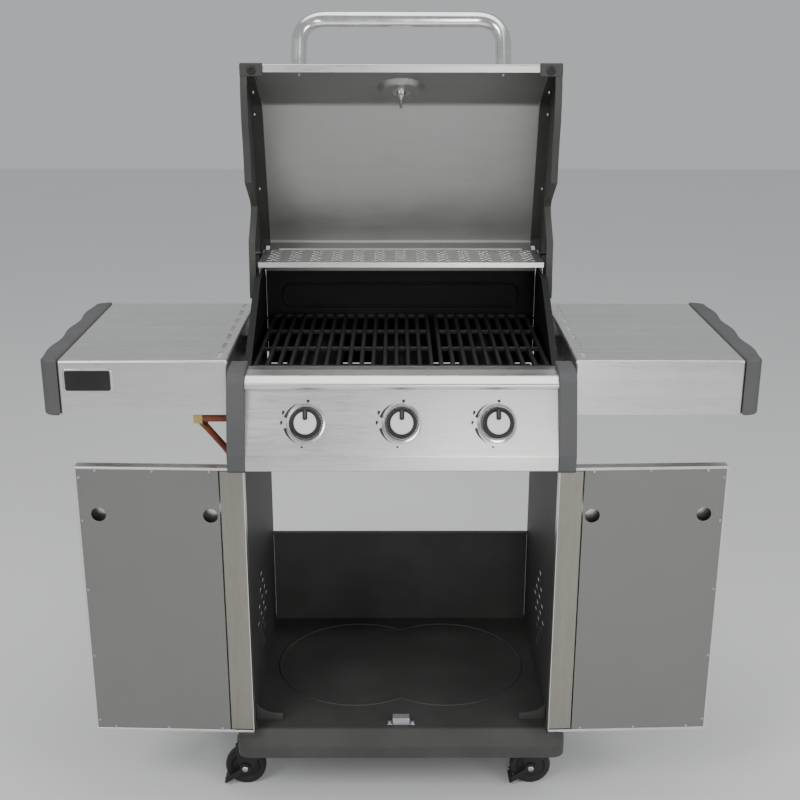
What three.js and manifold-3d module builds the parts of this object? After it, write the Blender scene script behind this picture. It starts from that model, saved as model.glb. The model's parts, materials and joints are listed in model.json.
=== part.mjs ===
// Three-burner gas barbecue on a cabinet trolley, standing with its lid and both doors open.
// Millimetres. X points right, Y points back, Z points up, seen from the cook's side.
// While it is built, Y = 0 is the front edge of the side shelves and Z = 0 is the floor. At the end
// the whole group is moved so that the origin is the middle of its footprint on the floor.

import * as THREE from 'three';
import Module from 'manifold-3d';
import { mergeVertices } from 'three/addons/utils/BufferGeometryUtils.js';

const wasm = await Module();
wasm.setup();

// ---------------------------------------------------------------- driving dimensions

const GAP = 0.3;               // between pieces that touch
const PLAY = 0.5;              // around a pin, a stem or a tube that passes through a hole
const SHEET = 1.5;             // sheet steel of the cabinet and the firebox
const SKIN = 1.2;              // stainless skins

const CABINET_HALF = 264;      // outer face of the cabinet's side panels
const CABINET_FRONT = 4;
const CABINET_BACK = 410;
const CABINET_TOP = 741.7;

const BASE_HALF = CABINET_HALF + 31;
const BASE_FRONT = -12;
const BASE_BACK = 425;
const BASE_BOTTOM = 98;
const BASE_EDGE = 120;         // where the upright band meets the sloping front
const FLOOR = 150;             // top of the base, the cabinet's floor
const BASE_SLOPE = 14;         // how far the sloping front leans back
const REAR_PANEL_TOP = 352;

const WHEEL_RADIUS = 37.5;
const WHEEL_WIDTH = 20;
const CASTER_X = BASE_HALF - 30;
const CASTER_FRONT_Y = 58;
const CASTER_REAR_Y = 362;
const CASTER_TRAIL = 24;
const FORK_TOP = 92;
const STEM_RADIUS = 5.5;
const AXLE_RADIUS = 4;
const BRAKE_LEAN = 35;         // degrees the brake levers point below level

const SHELF_TOP = 838;
const SHELF_DEPTH = 397;
const SHELF_APRON = 92;
const SHELF_INNER = CABINET_HALF + 17;
const SHELF_LENGTH = 276;
const SHELF_OUTER = SHELF_INNER + SHELF_LENGTH;
const CAP_WIDTH = 33;
const CAP_WAVE = 2.5;
const SLOT_COUNT = 7;
const SLOT_FIRST_Y = 17;
const SLOT_PITCH = 57;
const SLOT_SIZE = [36, 7];

const DOOR_PIN_X = CABINET_HALF + 8;
const DOOR_BOTTOM = 157;
const DOOR_TOP = 660;
const DOOR_DEPTH = 20;
const DOOR_MEETING_GAP = 4;    // between the two closed doors
const DOOR_TAIL = 12;          // how far the door reaches past its pin
const DOOR_OPEN = 182;         // degrees
const DOOR_PIN_RADIUS = 4;
const LINER_START = 30;        // from the pin, along the door
const DOOR_HANDLE_Z = 574;
const DOOR_HANDLE_HOLES = [46, 234];

const FIREBOX_HALF = CABINET_HALF - 2;      // outer face of the firebox's side walls
const FIREBOX_FRONT = 45;
const FIREBOX_BACK = 420;
const FIREBOX_FRONT_TOP = 815;
const FIREBOX_REAR_TOP = 905;
const FIREBOX_RIM = 11;        // rim folded in along the side walls' sloping top edge
const WALL_TOP = 921;

const GRATE_TOP = 815;
const GRATE_THICK = 9;
const GRATE_BAR = 8;
const GRATE_FRONT = 50;
const GRATE_BACK = 410;
const LEFT_GRATE_BARS = 16;
const RIGHT_GRATE_BARS = 10;
const GRATE_SPAN = FIREBOX_HALF - 14.5;  // from the middle to the outer side of each grate
const GRATE_PARTING = 8.6;     // between the two grates
const GRATE_PITCH = (2 * (GRATE_SPAN - GRATE_BAR) - GRATE_PARTING) / (LEFT_GRATE_BARS + RIGHT_GRATE_BARS - 2);

const RACK_Z = 946;
const RACK_FRONT = 256;
const RACK_BACK = 378;
const RACK_HALF = FIREBOX_HALF - 6;

const KNOB_X = [-153, 0, 153];
const KNOB_RADIUS = 25;
const KNOB_Z = 746;
const KNOB_PUSH = 4;
const VALVE_STEM_RADIUS = 4;
const BURNER_RADIUS = 14;
const BURNER_Z = 757;
const THROAT_Z = 754;          // the burners' mixing throats and the valves' nozzles

const PANEL_HALF = CABINET_HALF - 13.3;  // the metal front, between its end caps
const PANEL_CAP_OUTER = CABINET_HALF + 15.5;
const PANEL_FACE_TOP = [-23, 799];
const PANEL_FACE_BOTTOM = [-64, 697];
const PANEL_BOTTOM = 672;
const PANEL_BACK = 34;         // the back of the panel's end caps

const LID_HINGE = [377, 940];
const LID_OPEN = 92;           // degrees
const LID_HALF = FIREBOX_HALF + 15;      // outer face of the lid's cheeks
const LID_SHELL_HALF = LID_HALF - 20.3;
const LID_RIM = [33, 824];
const LID_KNEE = [103, 973];
const LID_CROWN = [374, 1050];
const LID_TAIL = [415, 960];
const LID_PIN_RADIUS = 4;
const HANDLE_RADIUS = 14;
const HANDLE_LEGS = 357;       // between the handle's two feet
const HANDLE_REACH = 98;       // from the lid's front to the middle of the handle's bar
const HANDLE_BEND = 66;
const HANDLE_UP = 34;          // from the rim to the handle's feet, along the lid's front
const DIAL_UP = 96;            // from the rim to the middle of the thermometer
const DISH_RADIUS = 41.5;

const TRAY_TOP = 708;
const TRAY_DEPTH = 18;
const TRAY_CLEARANCE = 4;      // below the firebox's rear wall, over the sliding tray
const INLET = [60, 720];       // where the gas pipe crosses the side panel, as [y, z]
const PIPE_RADIUS = 7;
const HOSE_RADIUS = 5.8;
// The gas hose from its elbow to the regulator. It leaves down and inwards, then hangs.
const ELBOW_X = -343;
const HOSE_POINTS = [
  [-333.9, 68.2, 704.2], [-328.4, 73.1, 694.6], [-322.9, 78, 685], [-317.4, 83, 675.4],
  [-311.9, 87.9, 665.8], [-306.4, 92.8, 656.2], [-301.5, 97.5, 646.2], [-297.6, 101.6, 635.5],
  [-294.8, 105.1, 624.3], [-293.1, 108, 612.7], [-292.5, 110.3, 600.8], [-293, 116.4, 563],
  [-294.7, 122.2, 525.1], [-297.5, 127.7, 487.3], [-301, 132.9, 449.5], [-305.1, 137.6, 411.6],
  [-309.4, 141.9, 373.8], [-313.7, 145.7, 335.9], [-317.8, 148.9, 297.9], [-321.5, 151.5, 259.8],
  [-324.4, 153.4, 221.6], [-326.3, 154.6, 183.3], [-327, 155, 145],
];

// ---------------------------------------------------------------- geometry helpers

const X = new THREE.Vector3(1, 0, 0);
const Y = new THREE.Vector3(0, 1, 0);
const Z = new THREE.Vector3(0, 0, 1);
const DEG = Math.PI / 180;

// Welds a geometry's corners, drops slivers with no area and turns its faces outwards.
function clean(geometry) {
  const bare = geometry.clone();
  bare.deleteAttribute('normal');
  bare.deleteAttribute('uv');
  const welded = mergeVertices(bare, 1e-3);
  const corners = welded.attributes.position;
  const kept = [];
  let volume = 0;
  const [a, b, c] = [new THREE.Vector3(), new THREE.Vector3(), new THREE.Vector3()];
  for (let i = 0; i < welded.index.count; i += 3) {
    const [p, q, r] = [0, 1, 2].map((k) => welded.index.getX(i + k));
    if (p === q || q === r || r === p) continue;
    a.fromBufferAttribute(corners, p);
    b.fromBufferAttribute(corners, q);
    c.fromBufferAttribute(corners, r);
    volume += a.dot(b.cross(c));
    kept.push(p, q, r);
  }
  if (volume < 0) kept.reverse();
  const result = new THREE.BufferGeometry();
  result.setAttribute('position', corners);
  result.setIndex(kept);
  return result;
}

function toSolid(geometry) {
  const { attributes, index } = clean(geometry);
  return new wasm.Manifold(new wasm.Mesh({
    numProp: 3,
    vertProperties: new Float32Array(attributes.position.array),
    triVerts: new Uint32Array(index.array),
  }));
}

function toGeometry(solid) {
  const { vertProperties, triVerts } = solid.getMesh();
  const geometry = new THREE.BufferGeometry();
  geometry.setAttribute('position', new THREE.BufferAttribute(vertProperties, 3));
  geometry.setIndex(new THREE.BufferAttribute(triVerts, 1));
  return geometry;
}

const join = (...pieces) => toGeometry(pieces.map(toSolid).reduce((a, b) => a.add(b)));

const cut = (body, ...tools) => toGeometry(tools.map(toSolid).reduce((a, b) => a.subtract(b), toSolid(body)));

const mirror = (geometry) => clean(geometry.clone().scale(-1, 1, 1));

// side is +1 for a piece on the right and -1 for its mirror image on the left.
const onSide = (side, geometry) => (side > 0 ? geometry : mirror(geometry));

function block([x0, x1], [y0, y1], [z0, z1]) {
  const geometry = new THREE.BoxGeometry(x1 - x0, y1 - y0, z1 - z0);
  return geometry.translate((x0 + x1) / 2, (y0 + y1) / 2, (z0 + z1) / 2);
}

// Pushes a flat outline along an axis: 'x' takes (y, z) points, 'y' takes (x, z), 'z' takes (x, y).
function push(axis, outline, from, to) {
  const shape = new THREE.Shape(outline.map(([a, b]) => new THREE.Vector2(a, b)));
  const geometry = new THREE.ExtrudeGeometry(shape, { depth: to - from, bevelEnabled: false });
  const turn = new THREE.Matrix4();
  if (axis === 'x') return geometry.applyMatrix4(turn.makeBasis(Y, Z, X)).translate(from, 0, 0);
  if (axis === 'y') {
    return geometry.applyMatrix4(turn.makeBasis(X, Z, Y.clone().negate())).translate(0, to, 0);
  }
  return geometry.translate(0, 0, from);
}

// A round bar along an axis, at the two other coordinates in their own order.
function rod(axis, radius, from, to, [a, b], sides = 12) {
  const geometry = new THREE.CylinderGeometry(radius, radius, to - from, sides);
  const middle = (from + to) / 2;
  if (axis === 'x') return geometry.rotateZ(-90 * DEG).translate(middle, a, b);
  if (axis === 'y') return geometry.translate(a, middle, b);
  return geometry.rotateX(90 * DEG).translate(a, b, middle);
}

// A turned piece about its own Y axis, from [radius, height] points.
function turned(profile, segments = 24) {
  return clean(new THREE.LatheGeometry(profile.map(([r, h]) => new THREE.Vector2(r, h)), segments));
}

function arc([cx, cy], radius, start, end, steps) {
  return Array.from({ length: steps + 1 }, (_, i) => {
    const angle = (start + ((end - start) * i) / steps) * DEG;
    return [cx + radius * Math.cos(angle), cy + radius * Math.sin(angle)];
  });
}

function roundedRectangle([x0, x1], [y0, y1], radius, steps = 4) {
  return [
    ...arc([x1 - radius, y0 + radius], radius, -90, 0, steps),
    ...arc([x1 - radius, y1 - radius], radius, 0, 90, steps),
    ...arc([x0 + radius, y1 - radius], radius, 90, 180, steps),
    ...arc([x0 + radius, y0 + radius], radius, 180, 270, steps),
  ];
}

// The section of a bent sheet: the points are one face and the other lies to their left.
function bent(points, thickness) {
  const spots = points.map(([a, b]) => new THREE.Vector2(a, b));
  const lefts = spots.slice(1).map((spot, i) => {
    const along = spot.clone().sub(spots[i]).normalize();
    return new THREE.Vector2(-along.y, along.x);
  });
  const inner = spots.map((spot, i) => {
    const before = lefts[Math.max(i - 1, 0)];
    const after = lefts[Math.min(i, lefts.length - 1)];
    const mitre = before.clone().add(after).multiplyScalar(thickness / (1 + before.dot(after)));
    return [spot.x + mitre.x, spot.y + mitre.y];
  });
  return [...points, ...inner.reverse()];
}

// A closed skin through outlines of equal length, each at its own height.
function loft(sections) {
  const count = sections[0].outline.length;
  const corners = sections.flatMap(({ outline, z }) => outline.flatMap(([x, y]) => [x, y, z]));
  const faces = [];
  for (let level = 0; level + 1 < sections.length; level += 1) {
    for (let i = 0; i < count; i += 1) {
      const a = level * count + i;
      const b = level * count + ((i + 1) % count);
      faces.push(a, b, a + count, b, b + count, a + count);
    }
  }
  const top = (sections.length - 1) * count;
  const outline = sections[0].outline.map(([x, y]) => new THREE.Vector2(x, y));
  for (const [a, b, c] of THREE.ShapeUtils.triangulateShape(outline, [])) {
    faces.push(c, b, a, top + a, top + b, top + c);
  }
  const geometry = new THREE.BufferGeometry();
  geometry.setAttribute('position', new THREE.Float32BufferAttribute(corners, 3));
  geometry.setIndex(faces);
  return geometry;
}

// A round tube along a curve.
function tube(curve, radius, sides, steps) {
  const section = new THREE.Shape(arc([0, 0], radius, 0, 360, sides).slice(0, -1)
    .map(([a, b]) => new THREE.Vector2(a, b)));
  return new THREE.ExtrudeGeometry(section, { steps, bevelEnabled: false, extrudePath: curve });
}

// ---------------------------------------------------------------- materials

const finish = (color, roughness, metalness) => new THREE.MeshStandardMaterial({ color, roughness, metalness });

const STAINLESS = finish(0xc4c3bf, 0.32, 1);
const LINER_STEEL = finish(0xa3a29e, 0.5, 0.8);
const CHARCOAL = finish(0x4b4a48, 0.55, 0.2);
const ENAMEL = finish(0x17181a, 0.5, 0.2);
const CAST_IRON = finish(0x1b1c1e, 0.7, 0.4);
const CAP_PLASTIC = finish(0x5a5a5b, 0.6, 0);
const BLACK_PLASTIC = finish(0x1c1c1d, 0.55, 0);
const CHROME = finish(0xdadada, 0.15, 1);
const BRASS = finish(0xb08a45, 0.35, 1);
const HOSE_RUBBER = finish(0xa0401f, 0.6, 0);
const REGULATOR_CAST = finish(0x9a9c9e, 0.45, 0.8);
const ALUMINISED = finish(0x8f9091, 0.45, 0.8);

const grill = new THREE.Group();

function piece(name, geometry, material, parent = grill) {
  const mesh = new THREE.Mesh(clean(geometry), material);
  mesh.name = name;
  parent.add(mesh);
  return mesh;
}

const SIDES = { left: -1, right: 1 };

// ---------------------------------------------------------------- base and cabinet

function basePan() {
  const outline = (inset, front) => roundedRectangle(
    [-BASE_HALF + inset, BASE_HALF - inset],
    [front + inset, BASE_BACK - inset],
    28 - inset,
    3,
  );
  const hollow = (inset, bottom, top) => loft([
    { outline: outline(inset, BASE_FRONT), z: bottom },
    { outline: outline(inset, BASE_FRONT), z: BASE_EDGE },
    { outline: outline(inset, BASE_FRONT + BASE_SLOPE), z: top },
  ]);
  const sockets = casterPlaces().map(([x, y]) => rod('z', 15, BASE_BOTTOM + 2, FLOOR - SHEET / 2, [x, y], 8));
  const bores = casterPlaces().map(([x, y]) => rod('z', STEM_RADIUS + PLAY, BASE_BOTTOM, FLOOR - 8, [x, y], 8));
  const shell = cut(hollow(0, BASE_BOTTOM, FLOOR), hollow(SHEET, BASE_BOTTOM - 1, FLOOR - SHEET));
  return cut(join(shell, ...sockets), ...bores);
}

function casterPlaces() {
  return [CASTER_FRONT_Y, CASTER_REAR_Y].flatMap((y) => [[-CASTER_X, y], [CASTER_X, y]]);
}

// Slots in rows of 1, 2, 3, 4, 3, 2 and 1, which make a diamond.
function louvreSlots() {
  const [slotLength, slotWidth, rowPitch, slotPitch] = [30, 8, 24, 42];
  return [1, 2, 3, 4, 3, 2, 1].flatMap((count, row) => Array.from({ length: count }, (_, i) => {
    const y = 185 + (i - (count - 1) / 2) * slotPitch;
    const z = 295 + (row - 3) * rowPitch;
    const [dy, dz] = [slotLength / 2, slotWidth / 2];
    return [[y - dy, z], [y - dy + dz, z - dz], [y + dy - dz, z - dz], [y + dy, z], [y + dy - dz, z + dz],
      [y - dy + dz, z + dz]];
  }));
}

function sidePanel(side) {
  const outline = [
    [CABINET_FRONT, FLOOR + GAP], [CABINET_BACK, FLOOR + GAP],
    [CABINET_BACK, CABINET_TOP], [PANEL_BACK + 2, CABINET_TOP],
    [PANEL_BACK + 2, PANEL_BOTTOM - 5], [CABINET_FRONT, PANEL_BOTTOM - 5],
  ];
  const slots = louvreSlots().map((slot) => push('x', slot, CABINET_HALF - 5, CABINET_HALF + 5));
  const inlet = rod('x', PIPE_RADIUS + PLAY, CABINET_HALF - 5, CABINET_HALF + 5, INLET);
  const sheet = cut(push('x', outline, CABINET_HALF - SHEET, CABINET_HALF), ...slots,
    ...(side < 0 ? [inlet] : []));
  const rail = block([CABINET_HALF - 14, CABINET_HALF - SHEET / 2], [60, CABINET_BACK],
    [TRAY_TOP - TRAY_DEPTH - GAP - SHEET, TRAY_TOP - TRAY_DEPTH - GAP]);
  const bracket = cut(
    block([DOOR_PIN_X - 14, DOOR_PIN_X + 9], [-22, CABINET_FRONT + 12], [DOOR_BOTTOM - 3, DOOR_BOTTOM - 1]),
    rod('z', DOOR_PIN_RADIUS + PLAY, DOOR_BOTTOM - 10, DOOR_BOTTOM + 10, [DOOR_PIN_X, -DOOR_DEPTH / 2]),
  );
  return onSide(side, join(sheet, rail, bracket));
}

function rearPanel() {
  const [y0, y1] = [CABINET_BACK - SHEET, CABINET_BACK];
  const half = CABINET_HALF - SHEET - GAP;
  return join(
    block([-half, half], [y0, y1], [FLOOR + GAP, REAR_PANEL_TOP]),
    block([-half, half], [y0 - 10, y1], [REAR_PANEL_TOP - SHEET, REAR_PANEL_TOP]),
  );
}

// The bar over the doors: its flat takes the doors' top pins, its web stiffens the cabinet.
function frontCrossbar() {
  const [low, high] = [DOOR_TOP + 2, DOOR_TOP + 4];
  const inside = CABINET_HALF - SHEET - GAP;
  const pins = [-DOOR_PIN_X, DOOR_PIN_X].map((x) => rod(
    'z', DOOR_PIN_RADIUS + PLAY, low - 5, high + 5, [x, -DOOR_DEPTH / 2],
  ));
  const bar = join(
    block([-DOOR_PIN_X - 9, DOOR_PIN_X + 9], [-22, CABINET_FRONT - GAP], [low, high]),
    block([-inside, inside], [-22, 28], [low, high]),
    block([-inside, inside], [28 - SHEET, 28], [low, high + 32]),
  );
  return cut(bar, ...pins);
}

function doorCatch() {
  return join(
    block([-15.5, 15.5], [10, 26], [FLOOR + GAP, FLOOR + 15]),
    block([-25, 25], [12, 24], [FLOOR + GAP, FLOOR + 2]),
  );
}

piece('base_pan', basePan(), CHARCOAL);
piece('rear_panel', rearPanel(), CHARCOAL);
piece('front_crossbar', frontCrossbar(), CHARCOAL);
piece('door_catch', doorCatch(), ALUMINISED);
for (const [name, side] of Object.entries(SIDES)) {
  piece(`side_panel_${name}`, sidePanel(side), CHARCOAL);
}

// ---------------------------------------------------------------- casters

const AXLE = [-CASTER_TRAIL, WHEEL_RADIUS];

// A fork about its own stem axis, trailing towards -X, with its axle bolt.
function casterFork() {
  const leg = [
    [14, FORK_TOP], [14, 78], [-14, 32], [-24, 27], [-34, 32], [-41, 74], [-40, FORK_TOP - 2], [-14, FORK_TOP],
  ];
  const inner = WHEEL_WIDTH / 2 + 2;
  const outer = inner + 2.5;
  return join(
    push('y', leg, inner, outer),
    push('y', leg, -outer, -inner),
    push('z', roundedRectangle([-30, 16], [-outer, outer], 6, 2), FORK_TOP - 4, FORK_TOP),
    rod('y', AXLE_RADIUS, -outer - 1, outer + 1, AXLE),
    rod('y', 6, outer, outer + 4, AXLE, 6),
    rod('y', 6, -outer - 4, -outer, AXLE, 6),
    rod('z', STEM_RADIUS, FORK_TOP - 2, FLOOR - 12, [0, 0]),
  );
}

// A wheel about its own Y axis, with rounded shoulders.
function casterWheel() {
  const half = WHEEL_WIDTH / 2;
  const bore = AXLE_RADIUS + PLAY;
  return turned([
    [bore, -half], [WHEEL_RADIUS - 2, -half], [WHEEL_RADIUS, -half + 3], [WHEEL_RADIUS, half - 3],
    [WHEEL_RADIUS - 2, half], [bore, half], [bore, -half],
  ]);
}

// The brake lever: two arms that turn on the axle bolt's heads, and a tread plate beyond the wheel.
function brakeLever() {
  const [near, far, tip] = [WHEEL_WIDTH / 2 + 5, WHEEL_WIDTH / 2 + 7.5, WHEEL_RADIUS + 3.5];
  const arm = cut(
    join(rod('y', 10.5, near, far, [0, 0], 12), block([-tip - 2, -5], [near, far], [-5, 5])),
    rod('y', 6 + PLAY, near - 5, far + 5, [0, 0], 12),
  );
  const tread = block([-tip - 8, -tip], [-far, far], [-5, -1]);
  const turn = new THREE.Matrix4().makeRotationY(-BRAKE_LEAN * DEG);
  const other = arm.clone().translate(0, -near - far, 0);
  return join(arm, other, tread).applyMatrix4(turn).translate(AXLE[0], 0, AXLE[1]);
}

casterPlaces().forEach(([x, y], i) => {
  const place = ['front_left', 'front_right', 'rear_left', 'rear_right'][i];
  const caster = new THREE.Group();
  caster.position.set(x, y, 0);
  grill.add(caster);
  piece(`caster_fork_${place}`, casterFork(), BLACK_PLASTIC, caster);
  const wheel = piece(`caster_wheel_${place}`, casterWheel(), BLACK_PLASTIC, caster);
  wheel.position.set(AXLE[0], 0, AXLE[1]);
  if (i < 2) piece(`brake_lever_${place}`, brakeLever(), BLACK_PLASTIC, caster);
});

// ---------------------------------------------------------------- side shelves

function shelf(side) {
  const [x0, x1] = [SHELF_INNER, SHELF_OUTER];
  const bottom = SHELF_TOP - SHELF_APRON;
  const slots = Array.from({ length: SLOT_COUNT }, (_, i) => {
    const y = SLOT_FIRST_Y + SLOT_SIZE[1] / 2 + i * SLOT_PITCH;
    return block([x0 + 17 - SLOT_SIZE[1] / 2, x0 + 17 + SLOT_SIZE[1] / 2], [y, y + SLOT_SIZE[0] - SLOT_SIZE[1]],
      [SHELF_TOP - 5, SHELF_TOP + 5]);
  });
  const pan = cut(
    block([x0, x1], [0, SHELF_DEPTH], [bottom, SHELF_TOP]),
    block([x0 + SKIN, x1 - SKIN], [SKIN, SHELF_DEPTH - SKIN], [bottom - 1, SHELF_TOP - SKIN]),
    ...slots,
  );
  const brackets = [80, SHELF_DEPTH - 60].map((y) => block(
    [FIREBOX_HALF + GAP, x0 + SKIN / 2], [y, y + 4], [bottom + 4, bottom + 44],
  ));
  return onSide(side, join(pan, ...brackets));
}

// The moulded end cap: three shallow waves along its outer edge, open below.
function shelfCap(side) {
  const inner = SHELF_OUTER + GAP;
  const outline = (inset) => {
    const outer = SHELF_OUTER + CAP_WIDTH - CAP_WAVE - inset;
    const [front, back] = [-2 + inset, SHELF_DEPTH + 2 - inset];
    const waves = Array.from({ length: 25 }, (_, i) => {
      const t = i / 24;
      return [outer - CAP_WAVE * Math.cos(t * 6 * Math.PI), front + 12 + t * (back - front - 24)];
    });
    return [[inner + inset, front], [outer - 14, front], ...waves, [outer - 14, back], [inner + inset, back]];
  };
  const [bottom, top] = [SHELF_TOP - SHELF_APRON - 2, SHELF_TOP + 2];
  const wall = 3;
  return onSide(side, cut(
    push('z', outline(0), bottom, top),
    push('z', outline(wall), bottom - 1, top - wall),
  ));
}

for (const [name, side] of Object.entries(SIDES)) {
  piece(`shelf_${name}`, shelf(side), STAINLESS);
  piece(`shelf_cap_${name}`, shelfCap(side), CAP_PLASTIC);
}

// ---------------------------------------------------------------- firebox and what it holds

function fireboxWall(side) {
  const bracket = arc(LID_HINGE, 26, 180, 0, 8);
  const [bottom, slopeFoot, slopeTop] = [CABINET_TOP + GAP, [58, 813], [242, WALL_TOP]];
  const outline = [
    [FIREBOX_FRONT, bottom], [FIREBOX_BACK, bottom], [FIREBOX_BACK, 885], [LID_HINGE[0] + 26, 912],
    ...bracket.reverse(), [LID_HINGE[0] - 34, WALL_TOP], slopeTop, slopeFoot, [FIREBOX_FRONT, 809],
  ];
  const sheet = cut(
    push('x', outline, FIREBOX_HALF - SHEET, FIREBOX_HALF),
    rod('x', LID_PIN_RADIUS + GAP, 200, 300, LID_HINGE),
  );
  const rim = push('x', bent([slopeFoot, slopeTop, [330, WALL_TOP]].reverse(), SHEET),
    FIREBOX_HALF - SHEET / 2 - FIREBOX_RIM, FIREBOX_HALF - SHEET / 2);
  return onSide(side, join(sheet, rim));
}

const LEDGE_Z = GRATE_TOP - GRATE_THICK - GAP;
const FIREBOX_INSIDE = FIREBOX_HALF - SHEET - GAP;

function fireboxFront() {
  const half = FIREBOX_INSIDE;
  const [y0, y1] = [FIREBOX_FRONT, FIREBOX_FRONT + SHEET];
  const wall = join(
    block([-half, half], [y0, y1], [CABINET_TOP + GAP, FIREBOX_FRONT_TOP - 4]),
    block([-half, half], [y0, y1 + 12], [LEDGE_Z - SHEET, LEDGE_Z]),
  );
  return cut(wall, ...KNOB_X.map((x) => rod('y', 11, y0 - 5, y1 + 5, [x, THROAT_Z])));
}

function fireboxRear() {
  const half = FIREBOX_INSIDE;
  const [y0, y1] = [FIREBOX_BACK - SHEET, FIREBOX_BACK];
  return join(
    block([-half, half], [y0, y1], [TRAY_TOP + TRAY_CLEARANCE, FIREBOX_REAR_TOP]),
    block([-half, half], [y0 - 12, y1], [LEDGE_Z - SHEET, LEDGE_Z]),
  );
}

// A cast grate: bars from front to back, held together by four cross bars.
function grate(x0, bars) {
  const width = (bars - 1) * GRATE_PITCH + GRATE_BAR;
  const rows = 3;
  const rowPitch = (GRATE_BACK - GRATE_FRONT - GRATE_BAR) / rows;
  const gaps = [];
  for (let bar = 0; bar + 1 < bars; bar += 1) {
    for (let row = 0; row < rows; row += 1) {
      const x = x0 + GRATE_BAR + bar * GRATE_PITCH;
      const y = GRATE_FRONT + GRATE_BAR + row * rowPitch;
      gaps.push(block([x, x + GRATE_PITCH - GRATE_BAR], [y, y + rowPitch - GRATE_BAR],
        [GRATE_TOP - GRATE_THICK - 1, GRATE_TOP + 1]));
    }
  }
  const outline = roundedRectangle([x0, x0 + width], [GRATE_FRONT, GRATE_BACK], 4, 1);
  return cut(push('z', outline, GRATE_TOP - GRATE_THICK, GRATE_TOP), ...gaps);
}

// A tube burner: a narrow mixing throat at the front, a wide closed tube behind it.
function burner() {
  return join(
    rod('y', 8, 36, 80, [0, THROAT_Z]),
    rod('y', BURNER_RADIUS, 72, 385, [0, BURNER_Z]),
    block([-10, 10], [383, FIREBOX_BACK - SHEET - GAP], [BURNER_Z - 3, BURNER_Z]),
  );
}

function flameTamer() {
  const [foot, ridge, half] = [BURNER_Z + 22, BURNER_Z + 46, 50];
  return push('y', bent([[-half, foot], [0, ridge], [half, foot]], -SHEET), 75, FIREBOX_BACK - SHEET - GAP);
}

// The warming rack: a folded sheet whose side flanges stand on the side walls' rims.
function warmingRack() {
  const half = RACK_HALF;
  const flange = (x0, x1) => block([x0, x1], [RACK_FRONT + 14, 328], [WALL_TOP + GAP, RACK_Z]);
  return join(
    block([-half, half], [RACK_FRONT, RACK_BACK], [RACK_Z - SKIN, RACK_Z]),
    block([-half, half], [RACK_FRONT, RACK_FRONT + SKIN], [RACK_Z - 9, RACK_Z]),
    block([-half, half], [RACK_BACK - SKIN, RACK_BACK], [RACK_Z - 9, RACK_Z]),
    flange(-half, -half + SKIN),
    flange(half - SKIN, half),
  );
}

function greaseTray() {
  const half = CABINET_HALF - SHEET - 4;
  const [y0, y1] = [62, FIREBOX_BACK + 6];
  return cut(
    block([-half, half], [y0, y1], [TRAY_TOP - TRAY_DEPTH, TRAY_TOP]),
    block([-half + SHEET, half - SHEET], [y0 + SHEET, y1 - SHEET], [TRAY_TOP - TRAY_DEPTH + SHEET, TRAY_TOP + 1]),
  );
}

piece('firebox_left_wall', fireboxWall(-1), ENAMEL);
piece('firebox_right_wall', fireboxWall(1), ENAMEL);
piece('firebox_front', fireboxFront(), ENAMEL);
piece('firebox_rear', fireboxRear(), ENAMEL);
piece('grate_left', grate(-GRATE_SPAN, LEFT_GRATE_BARS), CAST_IRON);
piece('grate_right', grate(GRATE_SPAN - (RIGHT_GRATE_BARS - 1) * GRATE_PITCH - GRATE_BAR, RIGHT_GRATE_BARS), CAST_IRON);
piece('warming_rack', warmingRack(), STAINLESS);
piece('grease_tray', greaseTray(), ALUMINISED);
KNOB_X.forEach((x, i) => {
  piece(`burner_${i + 1}`, burner(), ALUMINISED).position.x = x;
  piece(`flame_tamer_${i + 1}`, flameTamer(), ENAMEL).position.x = x;
});

// ---------------------------------------------------------------- control panel, knobs and gas

const FACE_LEAN = Math.atan2(PANEL_FACE_TOP[0] - PANEL_FACE_BOTTOM[0], PANEL_FACE_TOP[1] - PANEL_FACE_BOTTOM[1]);
const KNOB_FACE_Y = PANEL_FACE_TOP[0] - (PANEL_FACE_TOP[1] - KNOB_Z) * Math.tan(FACE_LEAN);

// Stands a piece turned about its own Y axis on the panel's face, with +Y coming out of the panel.
function facePanel(object, x) {
  object.position.set(x, KNOB_FACE_Y, KNOB_Z);
  object.quaternion.setFromUnitVectors(Y, new THREE.Vector3(0, -Math.cos(FACE_LEAN), Math.sin(FACE_LEAN)));
}

// The same placing for a geometry: heights count out from the panel's face.
function onFace(geometry, x) {
  const holder = new THREE.Object3D();
  facePanel(holder, x);
  holder.updateMatrix();
  return geometry.applyMatrix4(holder.matrix);
}

function controlPanel() {
  const outer = [
    [32, 820], [4, 821.5], [-18, 818], [-31, 811], [-35, 804], [-32, 799.5], PANEL_FACE_TOP,
    PANEL_FACE_BOTTOM, [-66, PANEL_BOTTOM], [-50, PANEL_BOTTOM],
  ];
  const sheet = push('x', bent(outer, SKIN), -PANEL_HALF, PANEL_HALF);
  const holes = KNOB_X.map((x) => onFace(new THREE.CylinderGeometry(6, 6, 20, 12), x));
  return cut(sheet, ...holes);
}

function panelCap(side) {
  const outline = [
    [PANEL_BACK, 814], [29, 822], [29, 829], [-8, 830], [-27, 825], [-38, 815], [-41, 804], [-70, 700], [-70, 675], [-66, PANEL_BOTTOM - 3],
    [12, PANEL_BOTTOM - 3], [24, 700], [PANEL_BACK, 745],
  ];
  return onSide(side, push('x', outline, PANEL_HALF + GAP, PANEL_CAP_OUTER));
}

const VALVE_FRONT = -23;       // the valves' front face, behind the panel's face
const MANIFOLD = [12, 723];    // the gas pipe behind the panel, as [y, z]

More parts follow.
